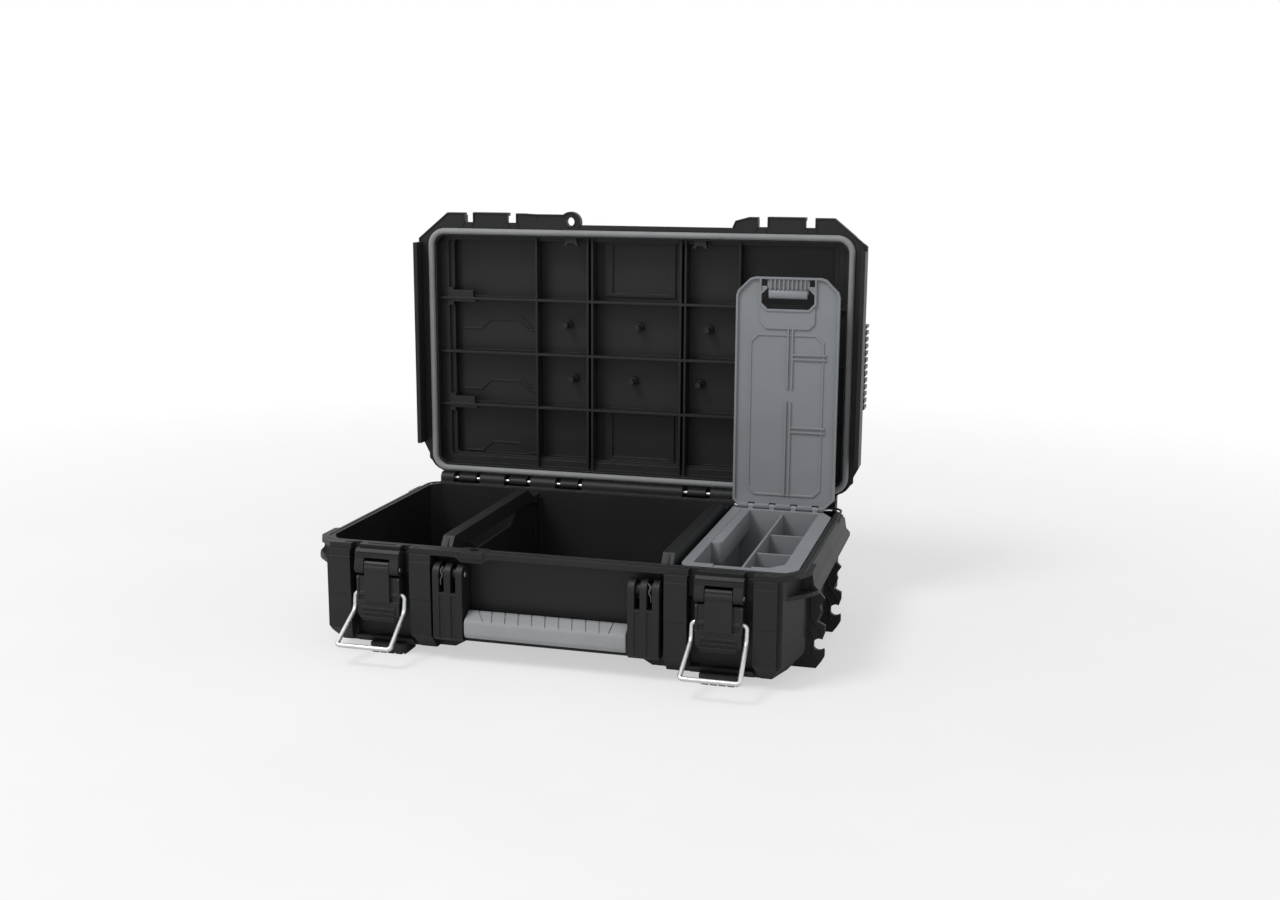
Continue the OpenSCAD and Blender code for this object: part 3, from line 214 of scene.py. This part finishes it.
def steel(name, look):
    material, tree = newMaterial(name)
    coords = addNode(tree, "ShaderNodeTexCoord").outputs["Object"]
    _, rounded = edgeMask(tree, 0.0006)
    drawn = noiseAt(tree, coords, look["streaks"], 3.0, 0.6, stretch=(0.06, 1.0, 1.0))
    spots = noiseAt(tree, coords, 70.0, 5.0, 0.7)
    colour = mixColour(tree, spread(tree, spots, 0.45, 0.75, 0.0, 1.0), look["colour"], look["dull"])
    rough = spread(tree, mathNode(tree, "ADD", drawn, spots), 0.7, 1.4, look["roughness"] - 0.08,
                   look["roughness"] + 0.14)
    bump = addNode(tree, "ShaderNodeBump", Height=drawn, Strength=0.25, Distance=0.00004, Normal=rounded)
    finishShader(tree, {"gloss": 0.5}, colour, rough, bump.outputs["Normal"], metallic=1.0)
    return material


finishes = {
    "black_shell": mouldedPlastic("caseBlack", blackShell),
    "black_lever": mouldedPlastic("leverBlack", blackLever),
    "grey_plastic": mouldedPlastic("organiserGrey", greyPlastic),
    "inlay_plastic": mouldedPlastic("inlayGrey", inlayPlastic),
    "seal_rubber": mouldedRubber("sealGrey", sealRubber),
    "grip_rubber": mouldedRubber("gripGrey", gripRubber),
    "black_rubber": mouldedRubber("footBlack", footRubber),
    "steel": steel("platedSteel", platedSteel),
    "bail_wire": steel("bailSteel", bailSteel),
    "dull_steel": steel("springSteel", springSteel),
}
for part in frame["record"]["subparts"]:
    mesh = nodes[part["node"]].data
    mesh.materials.clear()
    mesh.materials.append(finishes[part["material_slot"]])
print("finishes made:", len(finishes))


# Hinge-line millimetres to metres: x across, y back from the hinge, z up from the rim's top
def atHinge(x, y, z):
    return hinge + Vector((x, y, z)) * 0.001


# The lid is drawn shut and shown standing open, so its points turn a quarter round the hinge
def onLid(x, y, z):
    return atHinge(x, z, -y)


# The same for the organiser's lid, round its own wire
def onFlap(x, y, z):
    axisY, axisZ = organiserAxis
    return atHinge(x, axisY + (z - axisZ), axisZ - (y - axisY))


def addPiece(name, bm, body, slot, bevel=0.0, smoothAngle=35.0, finish=None):
    bmesh.ops.remove_doubles(bm, verts=bm.verts, dist=1e-7)
    bmesh.ops.recalc_face_normals(bm, faces=bm.faces)
    mesh = bpy.data.meshes.new(name)
    bm.to_mesh(mesh)
    bm.free()
    piece = bpy.data.objects.new(name, mesh)
    bpy.context.collection.objects.link(piece)
    if bevel:
        softEdge = piece.modifiers.new("softEdge", "BEVEL")
        softEdge.width = bevel
        softEdge.segments = 2
        softEdge.limit_method = "ANGLE"
        softEdge.angle_limit = math.radians(25.0)
    bakeModifiers(piece)
    piece.data.materials.clear()
    piece.data.materials.append(finishes[finish or slot])
    smoothByAngle(piece, smoothAngle)
    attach(piece, body)
    return piece


# Apply every modifier, so that the piece is a plain mesh
def bakeModifiers(piece):
    depsgraph = bpy.context.evaluated_depsgraph_get()
    baked = bpy.data.meshes.new_from_object(piece.evaluated_get(depsgraph))
    piece.modifiers.clear()
    piece.data = baked


def smoothByAngle(piece, degrees):
    bm = bmesh.new()
    bm.from_mesh(piece.data)
    limit = math.radians(degrees)
    for face in bm.faces:
        face.smooth = True
    for edge in bm.edges:
        edge.smooth = len(edge.link_faces) == 2 and edge.calc_face_angle(0.0) < limit
    bm.to_mesh(piece.data)
    bm.free()


# A closed prism: the same outline at two places along X
def prismX(bm, outline, x0, x1, place):
    ends = [[bm.verts.new(place(x, y, z)) for y, z in outline] for x in (x0, x1)]
    bm.faces.new(ends[0])
    bm.faces.new(list(reversed(ends[1])))
    count = len(outline)
    for i in range(count):
        j = (i + 1) % count
        bm.faces.new((ends[0][j], ends[0][i], ends[1][i], ends[1][j]))


# A closed upright prism, from an outline in plan
def prismZ(bm, outline, z0, z1, place):
    ends = [[bm.verts.new(place(x, y, z)) for x, y in outline] for z in (z0, z1)]
    bm.faces.new(ends[0])
    bm.faces.new(list(reversed(ends[1])))
    count = len(outline)
    for i in range(count):
        j = (i + 1) % count
        bm.faces.new((ends[0][j], ends[0][i], ends[1][i], ends[1][j]))


# Round each corner of a path by an arc of its own radius
def roundCorners(points, radii, steps, closed):
    count = len(points)
    path = []
    for i, point in enumerate(points):
        if not closed and i in (0, count - 1):
            path.append(point.copy())
            continue
        back = (points[i - 1] - point).normalized()
        ahead = (points[(i + 1) % count] - point).normalized()
        half = back.angle(ahead) / 2
        radius = radii[i] if isinstance(radii, (list, tuple)) else radii
        run = radius / math.tan(half)
        centre = point + (back + ahead).normalized() * (radius / math.sin(half))
        start = point + back * run - centre
        end = point + ahead * run - centre
        sweep = start.angle(end)
        for k in range(steps + 1):
            t = k / steps
            turned = start * math.sin((1 - t) * sweep) + end * math.sin(t * sweep)
            path.append(centre + turned / math.sin(sweep))
    return path


# A round wire or bead along a path, with rings that don't twist
def sweepTube(bm, path, radius, sides=14, closed=False, flat=1.0):
    count = len(path)
    tangents = []
    for i in range(count):
        before = path[i - 1] if closed or i else path[0]
        after = path[(i + 1) % count] if closed or i < count - 1 else path[-1]
        tangents.append((after - before).normalized())
    normal = tangents[0].orthogonal().normalized()
    rings = []
    for i, tangent in enumerate(tangents):
        normal = (normal - tangent * normal.dot(tangent)).normalized()
        side = tangent.cross(normal)
        ring = []
        for k in range(sides):
            a = 2 * math.pi * k / sides
            out = normal * math.cos(a) * flat + side * math.sin(a)
            ring.append(bm.verts.new(path[i] + out * radius))
        rings.append(ring)
    pairs = list(zip(rings, rings[1:]))
    if closed:  # the last ring may start elsewhere round the section, so the nearest start is found
        shift = min(range(sides), key=lambda k: (rings[0][k].co - rings[-1][0].co).length)
        pairs.append((rings[-1], rings[0][shift:] + rings[0][:shift]))
    for a, b in pairs:
        for k in range(sides):
            m = (k + 1) % sides
            bm.faces.new((a[k], a[m], b[m], b[k]))
    if not closed:
        for ring, outward in ((rings[0], -1), (rings[-1], 1)):
            middle = sum((v.co for v in ring), Vector()) / sides
            tip = bm.verts.new(middle + tangents[0 if outward < 0 else -1] * outward * radius * 0.35)
            for k in range(sides):
                bm.faces.new((ring[k], ring[(k + 1) % sides], tip))


# Sealing bead: a soft round rope pressed into the lid's groove, all the way round
sealBead = {"halfWidth": 263.5, "front": -314.1, "back": -12.6, "corner": 18.0, "centreZ": 0.3,
            "radius": 3.7}


def makeSealBead():
    w, f, b = sealBead["halfWidth"], sealBead["front"], sealBead["back"]
    corners = [onLid(x, y, sealBead["centreZ"]) for x, y in ((w, b), (-w, b), (-w, f), (w, f))]
    path = roundCorners(corners, sealBead["corner"] * 0.001, 10, closed=True)
    bm = bmesh.new()
    sweepTube(bm, path, sealBead["radius"] * 0.001, sides=20, closed=True)
    bead = addPiece("sealBead", bm, "lid", "seal_rubber")
    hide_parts("lid_seal")


# Wire bails: one bent wire each, with its two ends turned into the lever
bailWire = {
    "middle": 185.0, "legs": 28.25, "barHalf": 30.4, "ends": 14.8, "pivot": (-340.0, -53.2),
    "elbow": (-342.5, -71.2), "bar": (-384.71, -98.54), "radius": 2.5, "bends": (4.2, 12.0, 3.6),
}


def makeBail(name, node, middle, body):
    w, e = bailWire["legs"], bailWire["ends"]
    half = [(e, bailWire["pivot"]), (w, bailWire["pivot"]), (w, bailWire["elbow"]),
            (bailWire["barHalf"], bailWire["bar"])]
    points = [atHinge(middle - x, y, z) for x, (y, z) in half]
    points += [atHinge(middle + x, y, z) for x, (y, z) in reversed(half)]
    tight, open_, corner = (r * 0.001 for r in bailWire["bends"])
    path = roundCorners(points, [0, tight, open_, corner, corner, open_, tight, 0], 8, closed=False)
    bm = bmesh.new()
    sweepTube(bm, path, bailWire["radius"] * 0.001, sides=18)
    bail = addPiece(name, bm, body, "bail_wire")
    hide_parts(node)


# Handle grip: a soft sleeve with slanted grooves across its top and its sloped upper face
gripSleeve = {
    "half": 88.3, "front": -345.0, "back": -323.0, "low": -93.0, "top": -66.2,
    "grooves": 11, "grooveWidth": 1.5, "grooveDepth": 1.1, "slant": 3.4,
    "core": ((-339, -88), (-328, -88), (-328, -73.2), (-335, -73.2), (-339, -77.2)),
}


# One straight groove cutter on a flat of the grip, between two points given along X and down the flat
def grooveCutter(bm, top, down, out, ends, width, depth):
    (xa, sa), (xb, sb) = ends
    outline = [(xa - width / 2, sa), (xb - width / 2, sb), (xb + width / 2, sb), (xa + width / 2, sa)]
    rings = [[bm.verts.new(atHinge(*(top + down * s + out * lift + Vector((x, 0, 0)))))
              for x, s in outline]
             for lift in (-depth, 2.0)]
    bm.faces.new(rings[0])
    bm.faces.new(list(reversed(rings[1])))
    for i in range(4):
        j = (i + 1) % 4
        bm.faces.new((rings[0][j], rings[0][i], rings[1][i], rings[1][j]))


def makeGrip():
    f, b, low, top = (gripSleeve[k] for k in ("front", "back", "low", "top"))
    outline = [(f + 13, top), (f + 1.5, top - 6.6), (f, top - 9.5), (f, low + 5), (f + 3, low),
               (b - 4, low), (b, low + 5), (b, top - 4), (b - 4, top)]
    half, wide, deep = gripSleeve["half"], gripSleeve["grooveWidth"], gripSleeve["grooveDepth"]
    bm = bmesh.new()
    prismX(bm, outline, -half, half, atHinge)
    sleeve = addPiece("gripSleeve", bm, "handle", "grip_rubber", bevel=0.0014)
    crest, brow = Vector((0, f + 13, top)), Vector((0, f + 1.5, top - 6.6))
    down = (brow - crest).normalized()
    out = Vector((0, down.z, -down.y))
    slope = (brow - crest).length
    pitch = 2 * half / (gripSleeve["grooves"] + 1)
    slant = gripSleeve["slant"]
    cutters = []
    for i in range(1, gripSleeve["grooves"] + 1):
        x = -half + i * pitch
        end = -1 if i == 1 else 1 if i == gripSleeve["grooves"] else 0
        # the first and last grooves turn into a short chevron on the sloped face
        runs = [((x - slant / 2, 0.6), (x + slant / 2 - end * 5.0, slope + 0.3))]
        flats = [((x - slant / 2, -0.6), (x - slant, b - 3.0 - (f + 13)))]
        for ends in runs:
            cutter = bmesh.new()
            grooveCutter(cutter, crest, down, out, ends, wide, deep)
            cutters.append(cutter)
        for ends in flats:
            cutter = bmesh.new()
            grooveCutter(cutter, crest, Vector((0, 1, 0)), Vector((0, 0, 1)), ends, wide, deep)
            cutters.append(cutter)
    hollow = bmesh.new()
    prismX(hollow, gripSleeve["core"], -half - 2, half + 2, atHinge)
    for cutter in cutters + [hollow]:
        cutAway(sleeve, cutter)
    smoothByAngle(sleeve, 35.0)
    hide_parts("handle_grip")


# Cut one closed shape out of a piece
def cutAway(piece, cutters):
    bmesh.ops.recalc_face_normals(cutters, faces=cutters.faces)
    mesh = bpy.data.meshes.new("cutter")
    cutters.to_mesh(mesh)
    cutters.free()
    cutter = bpy.data.objects.new("cutter", mesh)
    bpy.context.collection.objects.link(cutter)
    cut = piece.modifiers.new("cut", "BOOLEAN")
    cut.operation = "DIFFERENCE"
    cut.solver = "EXACT"
    cut.object = cutter
    bpy.context.view_layer.update()
    bakeModifiers(piece)
    bpy.data.objects.remove(cutter)


# Organiser catch: a flat curled bar across the finger window, under a stiffening comb
organiserAxis = (-38.0, -1.6)
organiserCatch = {
    "middle": 195.6, "half": 22.5, "edge": -310.2, "curl": (-290.4, -1.7),
    "outer": (5.0, 2.3), "inner": (3.7, 1.2),
    "plate": (-1.6, -0.7), "ribs": 9, "ribPitch": 5.0, "ribWidth": 1.6,
}


def makeOrganiserCatch():
    cy, cz = organiserCatch["curl"]
    xm, half = organiserCatch["middle"], organiserCatch["half"]
    # the curl is flat enough to shut above the tray, and open at its free end so that it can flex
    arc = [math.radians(a) for a in range(80, -191, -10)]
    section = []
    for (deep, high), angles in ((organiserCatch["outer"], arc), (organiserCatch["inner"], arc[::-1])):
        section += [(cy - deep * math.cos(a), cz + high * math.sin(a)) for a in angles]
    bm = bmesh.new()
    prismX(bm, section, xm - half, xm + half, onFlap)
    front = organiserCatch["edge"] + 2.5
    low, high = organiserCatch["plate"]
    sheet = [(front, high), (cy, high + 1.4), (cy, high + 0.2), (front, low)]
    prismX(bm, sheet, xm - half - 1, xm + half + 1, onFlap)
    for i in range(organiserCatch["ribs"]):
        x = xm + (i - (organiserCatch["ribs"] - 1) / 2) * organiserCatch["ribPitch"]
        wide = organiserCatch["ribWidth"] / 2
        prismX(bm, [(front, low + 0.3), (cy - 4.2, low + 0.3), (cy - 4.8, -3.9), (front, -3.9)],
               x - wide, x + wide, onFlap)
    catch = addPiece("organiserCatch", bm, "organiser_flap", "grey_plastic", bevel=0.0003)
    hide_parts("organiser_latch")


# A flat strip of even width along a line in plan, between two heights
def flatStrip(bm, line, width, z0, z1, place, closed=False):
    count = len(line)
    sides = ([], [])
    for i, (x, y) in enumerate(line):
        back = line[i - 1] if closed or i else None
        ahead = line[(i + 1) % count] if closed or i < count - 1 else None
        normals = []
        for a, b in ((back, (x, y)), ((x, y), ahead)):
            if a and b:
                run = math.hypot(b[0] - a[0], b[1] - a[1])
                normals.append(((a[1] - b[1]) / run, (b[0] - a[0]) / run))
        nx, ny = (sum(n[k] for n in normals) / len(normals) for k in (0, 1))
        reach = width / 2 / max(nx * nx + ny * ny, 0.25)
        for side, sign in zip(sides, (1, -1)):
            side.append((x + sign * nx * reach, y + sign * ny * reach))
    rings = [[bm.verts.new(place(x, y, z)) for x, y in side] for side in sides for z in (z0, z1)]
    lowA, highA, lowB, highB = rings
    for i in range(count if closed else count - 1):
        j = (i + 1) % count
        for a, b in ((lowA, highA), (highA, highB), (highB, lowB), (lowB, lowA)):
            bm.faces.new((a[i], a[j], b[j], b[i]))
    if not closed:
        for i in (0, -1):
            bm.faces.new((lowA[i], highA[i], highB[i], lowB[i]))


# A turned shape round an axis along X, from (distance along, radius) pairs
def turnedX(bm, profile, y, z, place, sides=24):
    rings = []
    for x, radius in profile:
        rings.append([bm.verts.new(place(x, y + radius * math.cos(2 * math.pi * k / sides),
                                         z + radius * math.sin(2 * math.pi * k / sides)))
                      for k in range(sides)])
    for a, b in zip(rings, rings[1:]):
        for k in range(sides):
            m = (k + 1) % sides
            bm.faces.new((a[k], a[m], b[m], b[k]))
    bm.faces.new(rings[0])
    bm.faces.new(list(reversed(rings[-1])))


# The same round an axis that stands upright in the shut lid
def turnedZ(bm, profile, x, y, place, sides=24):
    rings = []
    for z, radius in profile:
        rings.append([bm.verts.new(place(x + radius * math.cos(2 * math.pi * k / sides),
                                         y + radius * math.sin(2 * math.pi * k / sides), z))
                      for k in range(sides)])
    for a, b in zip(rings, rings[1:]):
        for k in range(sides):
            m = (k + 1) % sides
            bm.faces.new((a[k], a[m], b[m], b[k]))
    bm.faces.new(rings[0])
    bm.faces.new(list(reversed(rings[-1])))


# A line and its mirror image across the middle of the case
def onBothSides(line):
    return [line, [(-x, y) for x, y in reversed(line)]]


# Raised lips along the edges of the lid's front tabs, and the thin ribs beside its notches
tabLip = {
    "width": 1.7, "height": 1.3, "face": 1.5, "ribWidth": 1.2, "ribDeep": 1.0,
    "outer": ((219.7, -324), (219.7, -336.1), (241.2, -336.1), (279.6, -304.4), (279.6, -262)),
    "middle": ((163.2, -325), (163.2, -336.6), (206.8, -336.6), (206.8, -325)),
    "inner": ((150.3, -324), (150.3, -336.1), (139.6, -336.1), (124.6, -331.9), (121.4, -325)),
    "toEye": ((-150.3, -324), (-150.3, -336.1), (-139.6, -336.1), (-126, -335.6), (-90.5, -335.6)),
    "web": ((-139.5, -336.9), (-123.5, -336.3), (-123.5, -331.0), (-125.5, -331.4)),
    "webHeights": (1.6, 6.4), "notchRibs": (221.4, 161.0, 208.9, 148.6), "notchEnds": (-324, -319.5),
    "arc": (-140, 30), "ringWidth": 1.6, "ringHeight": 0.9, "sink": 0.4,
    "eye": (-81.0, -327.0), "eyeRadius": 12.1, "holeRadius": 6.3,
}


def makeTabLips():
    bm = bmesh.new()
    low, high = tabLip["face"] - tabLip["height"], tabLip["face"] + tabLip["sink"]
    lines = onBothSides(tabLip["outer"]) + onBothSides(tabLip["middle"])
    lines += [tabLip["inner"], tabLip["toEye"]]
    for line in lines:
        flatStrip(bm, line, tabLip["width"], low, high, onLid)
    near, deep = tabLip["notchEnds"]
    for x in tabLip["notchRibs"]:
        for line in onBothSides([(x, near), (x, deep)]):
            flatStrip(bm, line, tabLip["ribWidth"], tabLip["face"] - tabLip["ribDeep"], high, onLid)
    ex, ey = tabLip["eye"]
    around = [(ex + tabLip["eyeRadius"] * math.cos(a), ey + tabLip["eyeRadius"] * math.sin(a))
              for a in (math.radians(d) for d in range(tabLip["arc"][0], tabLip["arc"][1] + 1, 10))]
    flatStrip(bm, around, tabLip["width"], low, high, onLid)
    ring = [(ex + tabLip["holeRadius"] * math.cos(a), (ey - 1) + tabLip["holeRadius"] * math.sin(a))
            for a in (math.radians(d) for d in range(0, 360, 12))]
    ringLow = tabLip["face"] - tabLip["ringHeight"]
    flatStrip(bm, ring, tabLip["ringWidth"], ringLow, high, onLid, closed=True)
    prismZ(bm, tabLip["web"], *tabLip["webHeights"], onLid)
    addPiece("lidTabLips", bm, "lid", "black_shell", bevel=0.0002)


# Knob caps on the studs inside the lid
studCap = {"studs": ((-92.9, -199.1), (0, -199.1), (87.9, -199.1),
                     (-85.3, -131.5), (-7.5, -131.5), (77.8, -131.5)),
           "profile": ((25.6, 4.6), (24.4, 4.6), (23.8, 4.2), (23.7, 2.6), (22.6, 2.4), (22.4, 1.9))}


def makeStudCaps():
    bm = bmesh.new()
    for x, y in studCap["studs"]:
        turnedZ(bm, studCap["profile"], x, y, onLid, sides=20)
    addPiece("studCaps", bm, "lid", "black_shell")


# Small stepped marks and a slot line moulded into the base's front rim, above each latch
rimMarks = {"middle": 185.0, "low": -0.9, "high": 0.1, "width": 1.3,
            "zigzag": ((42.5, -333.6), (39, -333.6), (36.5, -330.4), (34.6, -330.4)),
            "slot": ((-16, -331.5), (16, -331.5))}


def makeRimMarks():
    bm = bmesh.new()
    for sign in (-1, 1):
        xm = sign * rimMarks["middle"]
        for line in onBothSides(rimMarks["zigzag"]) + [rimMarks["slot"]]:
            moved = [(xm + x, y) for x, y in line]
            flatStrip(bm, moved, rimMarks["width"], rimMarks["low"], rimMarks["high"], atHinge)
    addPiece("rimMarks", bm, "base", "black_shell", bevel=0.00015)


# Raised strips on the stacking hooks, which run down the side wall and flare out along each hook
hookStrips = {"hooks": (-135.0, -260.0), "face": 2.5, "height": 1.2, "width": 1.6,
              "lines": (((265.5, -30), (265.5, -62), (272.5, -72), (276.5, -76), (276.5, -82)),
                        ((260.6, -72), (266.5, -79), (268.5, -84), (268.5, -101), (272.5, -106)))}


def makeHookStrips():
    bm = bmesh.new()
    for hookY in hookStrips["hooks"]:
        front = hookY - hookStrips["face"]
        for line in hookStrips["lines"]:
            for mirrored in onBothSides(line):
                # drawn in the hook's own plane, so plan points stand for X and Z there
                flatStrip(bm, mirrored, hookStrips["width"], 0.4, -hookStrips["height"],
                          lambda x, z, out, front=front: atHinge(x, front + out, z))
    addPiece("hookStrips", bm, "base", "black_shell", bevel=0.0002)


# Lines across each latch's hood, and the steel ends of its pin
hoodTrim = {"middle": 185.0, "half": 24.6, "front": -346.0, "heights": (-6.9, -12.0),
            "width": 0.9, "height": 0.5,
            "pin": (-342.6, -24.6), "pinHead": ((24.9, 2.6), (25.5, 2.6), (25.9, 2.0))}


def makeHoodTrim():
    lines, heads = bmesh.new(), bmesh.new()
    for sign in (-1, 1):
        xm = sign * hoodTrim["middle"]
        front = hoodTrim["front"]
        for z in hoodTrim["heights"]:
            flatStrip(lines, [(xm - hoodTrim["half"], z), (xm + hoodTrim["half"], z)], hoodTrim["width"],
                      0.4, -hoodTrim["height"], lambda x, up, out: atHinge(x, front + out, up))
        for end in (-1, 1):
            turnedX(heads, [(xm + end * x, r) for x, r in hoodTrim["pinHead"]], *hoodTrim["pin"], atHinge)
    addPiece("hoodLines", lines, "base", "black_shell", bevel=0.00012)
    addPiece("latchPinHeads", heads, "base", "steel")


# Domed heads of the handle's pins, and the small bent springs in the arms' outer slots
handlePins = {"pin": (-333.0, -26.0), "head": ((90.2, 3.4), (89.7, 3.4), (89.1, 2.8), (88.8, 1.4)),
              "spring": ((111.4, -341.8, -17), (114.2, -342.6, -21), (112.0, -342.8, -26.5),
                         (114.4, -342.4, -31), (114.4, -341.4, -37)),
              "wire": 0.65}


def makeHandleSteel():
    bm, wire = bmesh.new(), bmesh.new()
    for sign in (-1, 1):
        turnedX(bm, [(sign * x, r) for x, r in handlePins["head"]], *handlePins["pin"], atHinge)
        points = [atHinge(sign * x, y, z) for x, y, z in handlePins["spring"]]
        path = roundCorners(points, 0.0009, 4, closed=False)
        sweepTube(wire, path, handlePins["wire"] * 0.001, sides=10)
    addPiece("handlePinHeads", bm, "base", "steel")
    addPiece("handleSprings", wire, "base", "steel", finish="dull_steel")


# Inner ledge along the left wall of the tray's long cell
trayLedge = {"outline": ((146.2, -206), (155, -206), (158, -202), (158, -46.6), (146.2, -46.6)),
             "top": -5.0, "low": -30.0}


def makeTrayLedge():
    bm = bmesh.new()
    prismZ(bm, trayLedge["outline"], trayLedge["low"], trayLedge["top"], atHinge)
    addPiece("trayLedge", bm, "base", "grey_plastic", bevel=0.0006)


makeSealBead()
for side, middle in (("left", -bailWire["middle"]), ("right", bailWire["middle"])):
    makeBail("bailWire_" + side, "latch_bail_" + side, middle, "bail_" + side)
makeGrip()
makeOrganiserCatch()
makeTabLips()
makeStudCaps()
makeRimMarks()
makeHookStrips()
makeHoodTrim()
makeHandleSteel()
makeTrayLedge()
print("drawn pieces made")


# Floor, lamps and camera
studio = {"worldLight": 0.52, "aim": (0.0, 0.0, 0.15)}
paleFloor = {"radius": 6.0, "colour": (0.84, 0.84, 0.84), "pale": (0.88, 0.88, 0.88), "whitening": 0.55,
             "fadeFrom": 0.5, "fadeTo": 1.7}
keyLamp = {"place": (-1.2, -1.6, 2.7), "size": (1.1, 1.1), "power": 52.0}
fillLamp = {"place": (2.2, -1.4, 1.2), "size": (1.6, 1.2), "power": 1.4}
cameraView = {"place": (0.479003, -1.559694, 0.524678), "yaw": 0.26548, "pitch": 0.19437, "roll": 0.005765,
              "lens": 41.483, "sensor": 36.0, "farthest": 60.0}


def makeFloor():
    size = paleFloor["radius"]
    mesh = bpy.data.meshes.new("floor")
    ring = [(size * math.cos(a), size * math.sin(a), 0.0) for a in (i * math.pi / 48 for i in range(96))]
    mesh.from_pydata(ring, [], [tuple(range(96))])
    floor = bpy.data.objects.new("floor", mesh)
    bpy.context.collection.objects.link(floor)
    material, tree = newMaterial("paleFloor")
    coords = addNode(tree, "ShaderNodeTexCoord").outputs["Object"]
    cloud = noiseAt(tree, coords, 3.0, 4.0, 0.6)
    blend = spread(tree, cloud, 0.4, 0.65, 0.0, 1.0)
    colour = mixColour(tree, blend, paleFloor["colour"], paleFloor["pale"])
    matt = addNode(tree, "ShaderNodeBsdfDiffuse", Color=colour)
    glow = addNode(tree, "ShaderNodeEmission", Strength=1.0)
    clear = addNode(tree, "ShaderNodeBsdfTransparent")
    seen = addNode(tree, "ShaderNodeLightPath").outputs["Is Camera Ray"]
    whitened = mathNode(tree, "MULTIPLY", seen, paleFloor["whitening"])
    lifted = addNode(tree, "ShaderNodeMixShader", None, Fac=whitened)
    tree.links.new(matt.outputs[0], lifted.inputs[1])
    tree.links.new(glow.outputs[0], lifted.inputs[2])
    # the floor thins out into the background, so there is no horizon
    far = addNode(tree, "ShaderNodeVectorMath", {"operation": "LENGTH"})
    tree.links.new(coords, far.inputs[0])
    thin = spread(tree, far.outputs["Value"], paleFloor["fadeFrom"], paleFloor["fadeTo"], 0.0, 1.0)
    fade = addNode(tree, "ShaderNodeMixShader", None, Fac=thin)
    tree.links.new(lifted.outputs[0], fade.inputs[1])
    tree.links.new(clear.outputs[0], fade.inputs[2])
    out = addNode(tree, "ShaderNodeOutputMaterial")
    tree.links.new(fade.outputs[0], out.inputs["Surface"])
    mesh.materials.append(material)


def softLamp(name, look):
    light = bpy.data.lights.new(name, "AREA")
    light.shape = "RECTANGLE"
    light.size, light.size_y = look["size"]
    light.energy = look["power"]
    lamp = bpy.data.objects.new(name, light)
    lamp.location = look["place"]
    lamp.rotation_euler = (Vector(look["place"]) - Vector(studio["aim"])).to_track_quat("Z", "Y").to_euler()
    bpy.context.collection.objects.link(lamp)


def makeWorld():
    world = bpy.data.worlds.new("studio")
    bpy.context.scene.world = world
    world.use_nodes = True
    tree = world.node_tree
    tree.nodes.clear()
    path = addNode(tree, "ShaderNodeLightPath")
    shown = mathNode(tree, "MAXIMUM", path.outputs["Is Camera Ray"], path.outputs["Is Transmission Ray"])
    shown = mathNode(tree, "MAXIMUM", shown, path.outputs["Is Glossy Ray"])
    dim = addNode(tree, "ShaderNodeBackground", None, Color=(1, 1, 1, 1), Strength=studio["worldLight"])
    white = addNode(tree, "ShaderNodeBackground", None, Color=(1, 1, 1, 1), Strength=1.0)
    mix = addNode(tree, "ShaderNodeMixShader", None, Fac=shown)
    tree.links.new(dim.outputs[0], mix.inputs[1])
    tree.links.new(white.outputs[0], mix.inputs[2])
    out = addNode(tree, "ShaderNodeOutputWorld")
    tree.links.new(mix.outputs[0], out.inputs["Surface"])


def makeCamera():
    yaw, pitch, roll = cameraView["yaw"], cameraView["pitch"], cameraView["roll"]
    ahead = Vector((-math.sin(yaw), math.cos(yaw), 0.0))
    side = Vector((math.cos(yaw), math.sin(yaw), 0.0))
    above = Vector((0.0, 0.0, 1.0))
    forward = ahead * math.cos(pitch) - above * math.sin(pitch)
    up = above * math.cos(pitch) + ahead * math.sin(pitch)
    right = side * math.cos(roll) + up * math.sin(roll)
    upright = up * math.cos(roll) - side * math.sin(roll)
    camera = bpy.data.cameras.new("camera")
    camera.lens = cameraView["lens"]
    camera.sensor_width = cameraView["sensor"]
    camera.clip_end = cameraView["farthest"]
    holder = bpy.data.objects.new("camera", camera)
    bpy.context.collection.objects.link(holder)
    turn = Matrix((right, upright, -forward)).transposed()
    holder.matrix_world = Matrix.Translation(Vector(cameraView["place"])) @ turn.to_4x4()
    bpy.context.scene.camera = holder


makeFloor()
makeWorld()
softLamp("keyLamp", keyLamp)
softLamp("fillLamp", fillLamp)
makeCamera()
bpy.context.scene.view_settings.view_transform = "Standard"
print("studio set up")
